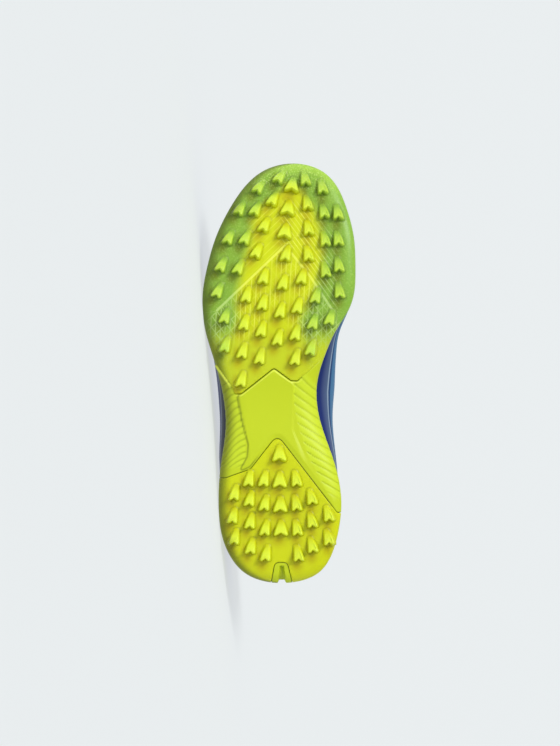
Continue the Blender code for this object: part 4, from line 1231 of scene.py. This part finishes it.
def build_tongue(upper):
    """A padded plate under the throat, from beneath the vamp to above the collar."""
    tree = BVHTree.FromObject(upper, bpy.context.evaluated_depsgraph_get())
    rows, across = TONGUE_ROWS, TONGUE_COLUMNS
    edges = [meridians(np.array([w]), 1, 3, 6)[0, -1] for w in np.linspace(0, 19 / 30, 20)]
    ridge = sorted((e[0], e[2]) for e in edges)
    ridge_x, ridge_z = zip(*ridge)
    crest_x = max(ridge, key=lambda e: e[1])[0]
    start, end = TONGUE_FRONT * LENGTH, TONGUE_BACK * LENGTH

    def ridge_height(x):
        if x < crest_x:
            return np.interp(crest_x, ridge_x, ridge_z) + (crest_x - x) * TONGUE_RISE
        if x > ridge_x[-1]:
            return ridge_z[-1] - (x - ridge_x[-1]) * TONGUE_FALL
        return np.interp(x, ridge_x, ridge_z)

    pitch = 6 * MM
    top = np.zeros((rows + 1, across + 1, 3))
    for r in range(rows + 1):
        f = r / rows
        x = start + (end - start) * f
        rounding = TONGUE_ROUND * np.clip((f - 0.85) / 0.15, 0, 1) ** 2
        half = TONGUE_WIDTH / 2 * (1 - TONGUE_NARROW * (1 - f) - rounding)
        shift = float(UPPER_AT["shift"](np.clip((0.665 - x / LENGTH) / 0.5, 0, 1))) * BALL_WIDTH
        for k in range(across + 1):
            v = 2 * k / across - 1
            y = shift + v * half
            z = ridge_height(x) - TONGUE_SEAT - TONGUE_CROWN * v * v
            lowest = z
            for near_x in (-1, -0.5, 0, 0.5, 1):
                for near_y in (-1, 0, 1):
                    over = Vector((x + near_x * pitch, y + near_y * 4 * MM, z - 0.25 * INSTEP_HEIGHT))
                    hit = tree.ray_cast(over, Vector((0, 0, 1)))
                    if hit[0] is not None:
                        lowest = min(lowest, hit[0].z - TONGUE_GAP)
            top[r, k] = (x, y, lowest)
    for _ in range(3):
        soft = top.copy()
        soft[1:-1, :, 2] = (top[:-2, :, 2] + top[1:-1, :, 2] * 2 + top[2:, :, 2]) / 4
        top[:, :, 2] = np.minimum(top[:, :, 2], soft[:, :, 2])
    v = np.linspace(-1, 1, across + 1)
    thick = TONGUE_THICKNESS * (1 - TONGUE_THINNER * v**2) * np.ones((rows + 1, 1))
    ends = np.sqrt(np.clip(np.linspace(0, rows, rows + 1) / 1.5, 0, 1))
    ends = np.minimum(ends, ends[::-1])[:, None]
    middle = top[:, :, 2] - thick / 2
    upside, downside = top.copy(), top.copy()
    upside[:, :, 2] = middle + thick / 2 * ends
    downside[:, :, 2] = middle - thick / 2 * ends
    loop = np.concatenate([upside, downside[:, ::-1]], 1)
    return skin("tongue_pad", loop)


def point_along(distance, run, line):
    """The point of a line at a distance along it, from the distances of its points."""
    return Vector([np.interp(distance, run, line[:, c]) for c in range(3)])


def eyelet_place(data, side, k):
    """Where an eyelet lies on the upper's outer face, with the normal and the way to the edge there."""
    outer, normal, around, _, _ = data
    way = EYELET_FIRST + (EYELET_LAST - EYELET_FIRST) * k / (EYELET_ROWS - 1)
    index = way * UPPER_STEPS
    i = int(index)
    f = index - i
    total = len(around)
    a, b = (i, i + 1) if side > 0 else ((total - i) % total, (total - i - 1) % total)
    line = (outer[a] * (1 - f) + outer[b] * f)[::-1]
    facing = (normal[a] * (1 - f) + normal[b] * f)[::-1]
    run = run_of(line)
    place = point_along(EYELET_BACK, run, line)
    out = point_along(EYELET_BACK, run, facing)
    ahead = point_along(EYELET_BACK - 3 * MM, run, line)
    return place, out.normalized(), (ahead - place).normalized()


def eyelet_poses(data):
    """Place, rotation and kind of every eyelet's ring, flat on the upper."""
    poses = []
    for side in (1, -1):
        for k in range(EYELET_ROWS):
            place, out, ahead = eyelet_place(data, side, k)
            x = (ahead - out * ahead.dot(out)).normalized()
            poses.append((place + out * RING_PROUD, Matrix((x, out.cross(x), out)).transposed(), 0))
    return poses


def turned(steps):
    """Angles of a full turn in equal steps."""
    return [2 * math.pi * k / steps for k in range(steps)]


def ring_shape():
    """An eyelet's ring, flat on z = 0."""
    verts = []
    round_steps, tube_steps = 20, 6
    for a in turned(round_steps):
        for b in turned(tube_steps):
            r = RING_RADIUS + RING_TUBE * math.cos(b)
            verts.append((r * math.cos(a), r * math.sin(a), 0.6 * RING_TUBE * math.sin(b)))
    return make_piece("ring", verts, skin_faces(round_steps, tube_steps, ring=True))


def mouth_shape():
    """Painted shade in an eyelet's mouth: a dark shallow disc on z = 0, a little hollow towards its middle.
    """
    steps = 16
    rings = ((0.0, -0.5), (1.0, -0.5), (1.0, 0.5), (0.7, 0.25), (0.0, 0.0))
    verts = []
    for share, height in rings:
        r = share * MOUTH_RADIUS
        verts += [(r * math.cos(a), r * math.sin(a), height * MOUTH_DEPTH) for a in turned(steps)]
    return make_piece("mouth", verts, skin_faces(len(rings), steps))


def stitch_shape():
    """One stitch of thread, lying along +X."""
    steps = 6
    rings = ((-1.0, 0.0), (-0.9, 0.5), (-0.5, 0.95), (0.0, 1.0), (0.5, 0.95), (0.9, 0.5), (1.0, 0.0))
    verts = []
    for u, share in rings:
        r = share * STITCH_THICK
        arch = STITCH_THICK * 0.4 * (1 - u * u)
        verts += [(u * STITCH_HALF, r * math.cos(a), r * math.sin(a) + arch) for a in turned(steps)]
    return make_piece("stitch", verts, skin_faces(len(rings), steps))


def stitch_lines(data):
    """Places of the stitches: beside the eyestay, round the collar and over the heel overlay."""
    outer, normal, around, side, share = data
    places = []
    for level, first, last in ((0.795, 0.02, 0.60), (0.862, 0.60, 1.0), (0.872, 0.02, 0.585)):
        for s in (1, -1):
            seam = (first <= around) & (around <= last) & ((side == s) | (around == 0) | (around == 1))
            index = sorted(np.nonzero(seam)[0], key=lambda i: around[i])
            line = np.array([[np.interp(level, share, outer[i, :, c]) for c in range(3)] for i in index])
            facing = np.array([[np.interp(level, share, normal[i, :, c]) for c in range(3)] for i in index])
            run = run_of(line)
            count = int(run[-1] / STITCH_PITCH)
            for k in range(count):
                d = (k + 0.5) / count * run[-1]
                p = point_along(d, run, line)
                z = point_along(d, run, facing).normalized()
                x = point_along(d + 0.5 * MM, run, line) - p
                x = (x - z * x.dot(z)).normalized()
                places.append((p + z * STITCH_PROUD, Matrix((x, z.cross(x), z)).transposed(), 0))
    return places


def build_laces(upper, tongue, data):
    """One flat lace through the eyelets: a bar at the front, then crossings up to the top eyelets."""
    work = bmesh.new()
    for piece in (upper, tongue):
        work.from_mesh(piece.data)
    tree = BVHTree.FromBMesh(work)
    work.free()
    strands = [((1, 0), (-1, 0), 0)]
    for k in range(EYELET_ROWS - 1):
        strands += [((1, k), (-1, k + 1), 0), ((-1, k), (1, k + 1), 1)]
    section = [(-1.0, 0.35), (-0.94, 0.0), (-0.5, -0.06), (0.5, -0.06), (0.94, 0.0), (1.0, 0.35)]
    section += [(0.94, 0.75), (0.5, 0.95), (0.0, 1.0), (-0.5, 0.95), (-0.94, 0.75)]
    verts, faces, along = [], [], []
    for a, b, over in strands:
        start, out_a, _ = eyelet_place(data, *a)
        end, out_b, _ = eyelet_place(data, *b)
        flat_run = Vector((end.x - start.x, end.y - start.y, 0)).normalized()
        across = Vector((-flat_run.y, flat_run.x, 0)) * LACE_WIDTH / 2
        ground = []
        for k in range(LACE_STEPS + 1):
            p = start.lerp(end, k / LACE_STEPS)
            below = []
            for sign in (-1, -0.5, 0, 0.5, 1):
                above = Vector((p.x, p.y, 2 * INSTEP_HEIGHT)) + across * sign
                hit = tree.ray_cast(above, Vector((0, 0, -1)))
                below.append(hit[0].z if hit[0] is not None else p.z)
            ground.append(max(below))
        heights = []
        for k in range(LACE_STEPS + 1):
            chords = [ground[k]]
            for i in range(k):
                for j in range(k + 1, LACE_STEPS + 1):
                    chords.append(ground[i] + (ground[j] - ground[i]) * (k - i) / (j - i))
            heights.append(max(chords))
        first = len(verts)
        count = len(section)
        for k in range(LACE_STEPS + 1):
            t = k / LACE_STEPS
            p = start.lerp(end, t)
            crossing = math.exp(-(((t - 0.5) / 0.16) ** 2)) * over * LACE_THICKNESS * LACE_OVER
            dive = (1 - float(blend(0.0, 0.10, t))) + float(blend(0.90, 1.0, t))
            base = heights[k] + LACE_LIFT * 0.5 + crossing - dive * LACE_DIVE
            narrow = 1 - LACE_NARROW * dive
            for v, h in section:
                q = Vector((p.x, p.y, 0)) + across * v * narrow
                verts.append((q.x, q.y, base + h * LACE_THICKNESS))
                along.append(t * (end - start).length / PLAN_UNIT)
        for k in range(LACE_STEPS):
            for i in range(count):
                j = (i + 1) % count
                a0 = first + k * count
                faces.append((a0 + i, a0 + j, a0 + count + j, a0 + count + i))
        faces.append(tuple(range(first, first + count)))
        faces.append(tuple(range(first + LACE_STEPS * count, first + (LACE_STEPS + 1) * count)))
    return make_piece("lace_woven", verts, faces, {"along": along})


def laying_matrix():
    """The move that lays the shoe on its lateral side, as the solids lie."""
    yaw, roll = math.radians(FLOOR_YAW), math.radians(FLOOR_ROLL)
    up = Vector((math.sin(yaw) * math.cos(roll), math.cos(yaw) * math.cos(roll), -math.sin(roll)))
    toe = Vector((1, 0, 0))
    back = -(toe - up * toe.dot(up)).normalized()
    return Matrix.Translation(LAID_SHIFT) @ Matrix((back, up.cross(back), up)).to_4x4()


LAID = laying_matrix()


def srgb(colour):
    """A hex colour as linear values."""
    parts = [int(colour[i : i + 2], 16) / 255 for i in (1, 3, 5)]
    return (*[((c + 0.055) / 1.055) ** 2.4 if c > 0.04045 else c / 12.92 for c in parts], 1.0)


def new_material(name, marks="", **sockets):
    """A material with a Principled shader whose even values are set on its own sockets.

    With it come the place on the object and the marks, values kept for each point, that its patterns follow.
    """
    material = bpy.data.materials.new(name)
    material.use_nodes = True
    tree = material.node_tree
    shader = tree.nodes["Principled BSDF"]
    for key, value in sockets.items():
        shader.inputs[key.replace("_", " ")].default_value = value
    mark = {}
    for key in marks.split():
        mark[key] = add(tree, "ShaderNodeAttribute", attribute_name=key).outputs["Fac"]
    mark["place"] = add(tree, "ShaderNodeTexCoord").outputs["Object"]
    return material, tree, shader, mark


def tinted(tree, colour, tint, amount, strength=1.0):
    """A colour with a tint laid over it: amount says where, and strength how much of it at most."""
    if strength != 1.0:
        amount = add(tree, "ShaderNodeMath", {0: amount, 1: strength}, operation="MULTIPLY")
    return add(tree, "ShaderNodeMix", {0: amount, 6: colour, 7: tint}, data_type="RGBA")


def give_surface(tree, shader, colour, height, strength, depth):
    """Gives the shader its colour, and a fine relief from a height."""
    relief = add(tree, "ShaderNodeBump", {"Height": height, "Strength": strength, "Distance": depth})
    tree.links.new(first_output(colour), shader.inputs["Base Color"])
    tree.links.new(relief.outputs["Normal"], shader.inputs["Normal"])


def line_near(tree, distance, half, soft):
    """1 on a line, falling to 0 away from it, from a distance."""
    fall = {"Value": distance, "From Min": half, "From Max": half + soft, "To Min": 1.0, "To Max": 0.0}
    return add(tree, "ShaderNodeMapRange", fall, interpolation_type="SMOOTHSTEP")


def moulded_lines(tree, mark):
    """1 on the fine pale lines moulded in the forefoot's rubber and on the raised V, and 0 beside them."""
    lines = 0.0
    for row in LINE_SETS:
        turned_x = {0: mark["plan_x"], 1: -math.sin(row.slant)}
        turned_x = add(tree, "ShaderNodeMath", turned_x, operation="MULTIPLY")
        turned_y = {0: mark["plan_y"], 1: math.cos(row.slant)}
        turned_y = add(tree, "ShaderNodeMath", turned_y, operation="MULTIPLY")
        across = add(tree, "ShaderNodeMath", {0: turned_x, 1: turned_y}, operation="ADD")
        half_way = row.spacing / 2 / PLAN_UNIT
        across = add(tree, "ShaderNodeMath", {0: across, 1: half_way}, operation="PINGPONG")
        seen = line_near(tree, across, LINE_HALF / PLAN_UNIT, LINE_SOFT / PLAN_UNIT)
        strength = {"Value": mark["gold"], "To Min": row.web, "To Max": row.core}
        strength = add(tree, "ShaderNodeMapRange", strength)
        seen = add(tree, "ShaderNodeMath", {0: seen, 1: strength}, operation="MULTIPLY")
        seen = add(tree, "ShaderNodeMath", {0: seen, 1: mark[row.field]}, operation="MULTIPLY")
        lines = add(tree, "ShaderNodeMath", {0: lines, 1: seen}, operation="MAXIMUM")
    # the lines fade in and out over about 12 mm
    fading = add(tree, "ShaderNodeTexNoise", {"Vector": mark["place"], "Scale": 80.0, "Detail": 1.0})
    worn = {"Value": fading, "From Min": 0.36, "From Max": 0.58, "To Min": 0.30, "To Max": 0.85}
    worn = add(tree, "ShaderNodeMapRange", worn)
    lines = add(tree, "ShaderNodeMath", {0: lines, 1: worn}, operation="MULTIPLY")
    vee = add(tree, "ShaderNodeMath", {0: mark["arm"]}, operation="ABSOLUTE")
    vee = line_near(tree, vee, VEE_HALF, VEE_SOFT)
    lines = add(tree, "ShaderNodeMath", {0: lines, 1: vee}, operation="MAXIMUM")
    # none run up the lugs
    on_web = {"Value": mark["tip"], "From Max": 1 / 12, "To Min": 1.0, "To Max": 0.0}
    on_web = add(tree, "ShaderNodeMapRange", on_web)
    return add(tree, "ShaderNodeMath", {0: lines, 1: on_web}, operation="MULTIPLY")


def pale_flecks(tree, mark):
    """Pale flecks of about 1 mm in the clear web, densest at the toe."""
    flecks = add(tree, "ShaderNodeTexNoise", {"Vector": mark["place"], "Scale": 900.0, "Detail": 1.0})
    seen = add(tree, "ShaderNodeMapRange", {"Value": flecks, "From Min": 0.50, "From Max": 0.66})
    web = add(tree, "ShaderNodeMath", {0: 1.0, 1: mark["gold"]}, operation="SUBTRACT")
    dense = add(tree, "ShaderNodeMapRange", {"Value": mark["toe"], "To Min": 0.15, "To Max": 0.55})
    clear = add(tree, "ShaderNodeMath", {0: web, 1: dense}, operation="MULTIPLY")
    return add(tree, "ShaderNodeMath", {0: seen, 1: clear}, operation="MULTIPLY")


def moulded_rubber(name, translucent):
    """Injection-moulded rubber, lime yellow; the forefoot's thin web lets green through round a yellow core.

    Saturated yellow between glossy lugs, painted shade behind them, painted highlights on their tops, fine
    pale moulded lines.
    """
    marks = "tip shade lateral_shade"
    if translucent:
        marks += " gold rim toe waist arm net rays_medial rays_lateral plan_x plan_y"
    material, tree, shader, mark = new_material(
        name,
        marks,
        Roughness=0.38,
        Specular_IOR_Level=0.24,
        Coat_Weight=0.04,
        Coat_Roughness=0.32,
        Subsurface_Weight=0.40,
        Subsurface_Scale=0.003,
        Subsurface_Radius=(1.0, 1.0, 0.25),
    )
    tip, shade = mark["tip"], mark["shade"]
    # deep is the colour of the painted shade round the lugs, also laid in faint random patches; top is the
    # painted highlight on the lug tops
    if translucent:
        border = tinted(tree, "#86B23E", "#9FC648", mark["toe"])
        base = tinted(tree, "#88B13A", border, mark["rim"])
        base = tinted(tree, base, "#CCD608", mark["gold"])
        base = tinted(tree, base, "#C5D120", mark["waist"])
        deep = tinted(tree, "#728418", "#B5AD00", mark["gold"])
        top = tinted(tree, "#BAD946", "#D2E23A", mark["gold"])
    else:
        base, deep, top = "#CAD20A", "#B3AB00", "#D2E238"
    # painted shadow that the lugs throw behind them and on their lateral side
    colour = tinted(tree, base, deep, shade)
    if translucent:
        lines = moulded_lines(tree, mark)
        pale = tinted(tree, "#BFDB80", "#EAF05A", mark["gold"])
        colour = tinted(tree, colour, pale, lines, 0.85)
    # painted shade stays a little way up a shaded lug's wall; a painted highlight pales it towards its top,
    # less so in shadow
    smooth = {"interpolation_type": "SMOOTHSTEP"}
    wall = {"Value": tip, "From Min": 0.02, "From Max": 0.22, "To Max": 0.35}
    wall = add(tree, "ShaderNodeMapRange", wall, **smooth)
    wall = add(tree, "ShaderNodeMath", {0: wall, 1: shade}, operation="MULTIPLY")
    colour = tinted(tree, colour, deep, wall)
    held = {"Value": tip, "From Min": 0.70, "From Max": 1.0, "To Min": 0.60, "To Max": 0.10}
    held = add(tree, "ShaderNodeMapRange", held, **smooth)
    held = add(tree, "ShaderNodeMath", {0: shade, 1: held}, operation="MULTIPLY")
    lit = add(tree, "ShaderNodeMath", {0: 1.0, 1: held}, operation="SUBTRACT")
    up = add(tree, "ShaderNodeMapRange", {"Value": tip, "From Min": 0.04, "From Max": 0.80}, **smooth)
    up = add(tree, "ShaderNodeMath", {0: up, 1: lit}, operation="MULTIPLY")
    colour = tinted(tree, colour, top, up)
    patchy = add(tree, "ShaderNodeTexNoise", {"Vector": mark["place"], "Scale": 60.0, "Detail": 2.0})
    colour = tinted(tree, colour, deep, patchy, 0.10)
    if translucent:
        colour = tinted(tree, colour, "#CBE57C", pale_flecks(tree, mark))
    colour = tinted(tree, colour, "#50590F", mark["lateral_shade"], 0.74)
    # mould texture of about 0.5 mm
    grain = add(tree, "ShaderNodeTexNoise", {"Vector": mark["place"], "Scale": 1900.0, "Detail": 3.0})
    height = add(tree, "ShaderNodeMath", {0: grain, 1: 0.25}, operation="MULTIPLY")
    if translucent:
        height = add(tree, "ShaderNodeMath", {0: height, 1: lines}, operation="ADD")
    give_surface(tree, shader, colour, height, 0.35, 0.25 * MM)
    return material


def moulded_foam():
    """Compression-moulded foam with a satin skin: even lime, brighter on the ribs and dark in its joints,
    with painted shade and highlights.
    """
    material, tree, shader, mark = new_material(
        "moulded_foam_lime",
        "ribs cut lateral_shade bright joint",
        Roughness=0.46,
        Specular_IOR_Level=0.30,
        Subsurface_Weight=0.10,
        Subsurface_Scale=0.003,
        Subsurface_Radius=(1.0, 1.0, 0.3),
    )
    colour = tinted(tree, "#BCCB16", "#C4D624", mark["ribs"])
    # painted shade in the rib grooves
    colour = tinted(tree, colour, "#98A514", mark["cut"], 0.60)
    colour = tinted(tree, colour, "#666A0C", mark["lateral_shade"], 0.80)
    # painted highlight on the rolled lip and the ridge
    colour = tinted(tree, colour, "#E9F35C", mark["bright"], 0.75)
    # dark joints, with painted shade on the bridge panel's lateral edge and in the heel's notch
    colour = tinted(tree, colour, "#5F6606", mark["joint"], 0.90)
    cloud = add(tree, "ShaderNodeTexNoise", {"Vector": mark["place"], "Scale": 35.0, "Detail": 2.0})
    colour = tinted(tree, colour, "#B4C81E", cloud, 0.10)
    # closed foam skin, pores of about 0.4 mm
    grain = add(tree, "ShaderNodeTexNoise", {"Vector": mark["place"], "Scale": 2400.0, "Detail": 3.0})
    give_surface(tree, shader, colour, grain, 0.16, 0.1 * MM)
    return material


def printed_bands(tree, height, stops):
    """The upper's printed bands over a height, from rows of place and colour."""
    made = add(tree, "ShaderNodeValToRGB", {"Fac": height})
    ramp = made.color_ramp
    while len(ramp.elements) > 1:
        ramp.elements.remove(ramp.elements[-1])
    first, *others = stops
    ramp.elements[0].position = first[0]
    ramp.elements[0].color = srgb(first[1])
    for place, colour in others:
        ramp.elements.new(place).color = srgb(colour)
    return made


def coated_leather():
    """Polyurethane-coated microfibre, printed in bands: a fine even grain under a smooth satin film."""
    material, tree, shader, mark = new_material(
        "coated_microfibre_blue",
        "rise way side lined",
        Specular_IOR_Level=0.22,
        Coat_Weight=0.05,
        Coat_Roughness=0.34,
    )
    height = add(tree, "ShaderNodeMath", {0: mark["rise"], 1: 0.5}, operation="MULTIPLY")
    # the printed bands climb towards the heel
    climb = {"Value": mark["way"], "From Min": 0.54, "From Max": 0.70, "To Min": 0.0, "To Max": -0.075}
    climb = add(tree, "ShaderNodeMapRange", climb)
    height = add(tree, "ShaderNodeMath", {0: height, 1: climb}, operation="ADD")
    medial = printed_bands(tree, height, MEDIAL_BANDS)
    lateral = printed_bands(tree, height, LATERAL_BANDS)
    print_colour = tinted(tree, lateral, medial, mark["side"])
    cloud = add(tree, "ShaderNodeTexNoise", {"Vector": mark["place"], "Scale": 45.0, "Detail": 2.0})
    print_colour = tinted(tree, print_colour, "#101C4A", cloud, 0.12)
    # knitted lining, loops of about 1.2 mm
    loops = add(tree, "ShaderNodeTexVoronoi", {"Vector": mark["place"], "Scale": 850.0})
    lining = tinted(tree, "#22366E", "#0C1230", loops)
    lined = add(tree, "ShaderNodeMath", {0: mark["lined"], 1: 0.45}, operation="GREATER_THAN")
    rough = add(tree, "ShaderNodeMapRange", {"Value": lined, "To Min": 0.40, "To Max": 0.85})
    tree.links.new(rough.outputs["Result"], shader.inputs["Roughness"])
    # leather grain of about 0.7 mm
    grain = {"Vector": mark["place"], "Scale": 1400.0}
    grain = add(tree, "ShaderNodeTexVoronoi", grain, feature="SMOOTH_F1")
    grain = add(tree, "ShaderNodeMath", {0: grain, 1: 0.5}, operation="MULTIPLY")
    knit = add(tree, "ShaderNodeMath", {0: lined, 1: 3.0}, operation="MULTIPLY")
    knit = add(tree, "ShaderNodeMath", {0: loops, 1: knit}, operation="MULTIPLY")
    height = add(tree, "ShaderNodeMath", {0: grain, 1: knit}, operation="ADD")
    give_surface(tree, shader, tinted(tree, print_colour, lining, lined), height, 0.25, 0.2 * MM)
    return material


def woven_cloth(name, light, dark, thread):
    """Plain-woven polyester: tiny over-and-under threads, matt with a faint sheen."""
    material, tree, shader, mark = new_material(name, Roughness=0.82, Sheen_Weight=0.25)
    # a wave texture of this scale has one wave for every two threads
    wave = {"Vector": mark["place"], "Scale": 1 / (6.3 * thread)}
    warp, weft, rows = [
        add(tree, "ShaderNodeTexWave", wave, bands_direction=way).outputs["Fac"] for way in ("X", "Y", "Z")
    ]
    threads = add(tree, "ShaderNodeMath", {0: warp, 1: weft}, operation="MAXIMUM")
    threads = add(tree, "ShaderNodeMath", {0: threads, 1: rows}, operation="MULTIPLY")
    give_surface(tree, shader, tinted(tree, dark, light, threads), threads, 0.4, 0.3 * thread)
    return material


def flat_lace():
    """Flat woven polyester lace: ribs of thread across it, about 1 mm apart, and a matt soft surface."""
    material, tree, shader, mark = new_material("woven_lace_lime", "along", Roughness=0.78, Sheen_Weight=0.3)
    half_rib = LACE_RIB / 2 / PLAN_UNIT
    ribs = add(tree, "ShaderNodeMath", {0: mark["along"], 1: half_rib}, operation="PINGPONG")
    ribs = add(tree, "ShaderNodeMath", {0: ribs, 1: 1 / half_rib}, operation="MULTIPLY")
    give_surface(tree, shader, tinted(tree, "#A9BC1C", "#DCEB3C", ribs), ribs, 0.4, 0.2 * MM)
    return material


def plain_finish(name, colour, roughness):
    """A plain moulded or painted surface with a fine even grain."""
    material, tree, shader, mark = new_material(name, Roughness=roughness)
    grain = add(tree, "ShaderNodeTexNoise", {"Vector": mark["place"], "Scale": 900.0, "Detail": 2.0})
    grained = tinted(tree, colour, "#000000", grain, 0.2)
    tree.links.new(first_output(grained), shader.inputs["Base Color"])
    return material


def finish_piece(made, node, material=None):
    """Lays a finished piece down, gives it its material, hangs it under the shoe's body and hides the solid
    it stands for.
    """
    made.data.transform(LAID)
    for point in made.data.vertices:
        point.co.z = max(point.co.z, 0.0)
    if material is not None:
        made.data.materials.clear()
        made.data.materials.append(material)
    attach(made, "root")
    if node:
        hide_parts(node)
    return made


def build_floor():
    """A pale paper sweep: flat under the shoe and rising gently all round it."""
    profile = [(0.5 * FLOOR_FLAT, 0.0), (FLOOR_FLAT, 0.0)]
    for k in range(1, FLOOR_RINGS + 1):
        t = k / FLOOR_RINGS
        profile.append((FLOOR_FLAT + (FLOOR_REACH - FLOOR_FLAT) * t, FLOOR_RISE * t**FLOOR_CURVE))
    verts = [(0.0, 0.0, 0.0)]
    for r, z in profile:
        verts += [(r * math.cos(a), r * math.sin(a), z) for a in turned(FLOOR_ROUND)]
    faces = [(0, 1 + k, 1 + (k + 1) % FLOOR_ROUND) for k in range(FLOOR_ROUND)]
    for ring in range(len(profile) - 1):
        for k in range(FLOOR_ROUND):
            a = 1 + ring * FLOOR_ROUND + k
            b = 1 + ring * FLOOR_ROUND + (k + 1) % FLOOR_ROUND
            faces.append((a, a + FLOOR_ROUND, b + FLOOR_ROUND, b))
    mesh = bpy.data.meshes.new("paper_sweep")
    mesh.from_pydata(verts, [], faces)
    for face in mesh.polygons:
        face.use_smooth = True
    made = bpy.data.objects.new("paper_sweep", mesh)
    bpy.context.scene.collection.objects.link(made)
    paper, _, _, _ = new_material(
        "studio_paper",
        Roughness=0.95,
        Specular_IOR_Level=0.2,
        Base_Color=srgb("#838687"),
        Emission_Color=srgb("#E9EDEE"),
        Emission_Strength=FLOOR_GLOW,
    )
    mesh.materials.append(paper)


def build_studio():
    """Soft light from above, from the front and from the toe's side, with an even pale fill."""
    data = bpy.data.lights.new("key", "SUN")
    data.energy = KEY_POWER
    data.angle = math.radians(KEY_SOFT)
    key = bpy.data.objects.new("key", data)
    key.rotation_euler = Vector(KEY_FROM).to_track_quat("Z", "Y").to_euler()
    bpy.context.scene.collection.objects.link(key)
    world = bpy.data.worlds.new("studio")
    world.use_nodes = True
    sky = world.node_tree.nodes["Background"]
    sky.inputs["Color"].default_value = FILL_COLOUR
    sky.inputs["Strength"].default_value = FILL_POWER
    bpy.context.scene.world = world
    bpy.context.scene.view_settings.view_transform = "Standard"


def build_camera():
    """Square on to the sole, toe up in the picture and medial side to the right."""
    data = bpy.data.cameras.new("camera")
    data.sensor_width = SENSOR
    data.lens = SENSOR * CAMERA_FAR / PICTURE_TALL
    data.clip_start = 0.1
    data.clip_end = 50
    made = bpy.data.objects.new("camera", data)
    bpy.context.scene.collection.objects.link(made)
    turn = LAID.to_3x3()
    right, up, back = (turn @ Vector(v) for v in ((0, 1, 0), (1, 0, 0), (0, 0, -1)))
    pose = Matrix((right, up, back)).transposed().to_4x4()
    place = LAID @ Vector((AIM_X, 0, -CAMERA_FAR))
    made.matrix_world = Matrix.Translation(place) @ pose
    bpy.context.scene.camera = made


def build_treads():
    """Both rubber treads with their lugs, each clipped to its border, closed beyond the toe or the heel."""
    lugs = lug_places()
    front = [g for g in lugs if g[0] > 0.4 * LENGTH]
    back = [g for g in lugs if g[0] < 0.4 * LENGTH]
    clear_rubber = moulded_rubber("moulded_rubber_translucent", True)
    lime_rubber = moulded_rubber("moulded_rubber_lime", False)
    far = [Vector((1.2 * LENGTH, y)) for y in (BALL_WIDTH, -BALL_WIDTH)]
    near = [Vector((-0.2 * LENGTH, y)) for y in (BALL_WIDTH, -BALL_WIDTH)]
    forefoot = build_tread("tread_forefoot", FOREFOOT_LINE + far, None, front, clear_rubber)
    heel = build_tread("tread_heel", HEEL_LINE + near, NOTCH_LINE, back, lime_rubber)
    return forefoot, heel


def build_shoe():
    """Every piece of the shoe, laid down on its solids."""
    forefoot, heel = build_treads()
    midsole = build_midsole()
    upper, data = build_upper()
    insole = build_insole()
    tongue = build_tongue(upper)
    laces = build_laces(upper, tongue, data)
    rings = eyelet_poses(data)
    navy = plain_finish("moulded_eyelet_navy", "#1A2A66", 0.4)
    eyelets = place_copies("eyelet_rings", rings, [ring_shape()], navy)
    # painted shade: a dark disc in each eyelet stands for the shade inside its hole
    shaded = plain_finish("eyelet_mouth_painted_shade", "#0A0D1C", 0.9)
    mouths = place_copies("eyelet_mouths", rings, [mouth_shape()], shaded)
    thread = woven_cloth("sewing_thread_blue", "#5B8CC8", "#2C4C90", 0.3 * MM)
    stitches = place_copies("stitches", stitch_lines(data), [stitch_shape()], thread)
    finish_piece(forefoot, "outsole_forefoot")
    finish_piece(heel, "outsole_heel")
    finish_piece(midsole, "midsole", moulded_foam())
    finish_piece(upper, "upper", coated_leather())
    finish_piece(eyelets, None)
    finish_piece(mouths, None)
    finish_piece(stitches, None)
    sockliner = woven_cloth("knitted_sockliner", "#39415E", "#12162A", 0.8 * MM)
    finish_piece(insole, "insole", sockliner)
    tongue_cloth = woven_cloth("woven_tongue_navy", "#24408C", "#0F1C4C", 0.7 * MM)
    finish_piece(tongue, "tongue", tongue_cloth)
    finish_piece(laces, "laces", flat_lace())


build_shoe()
build_floor()
build_studio()
build_camera()
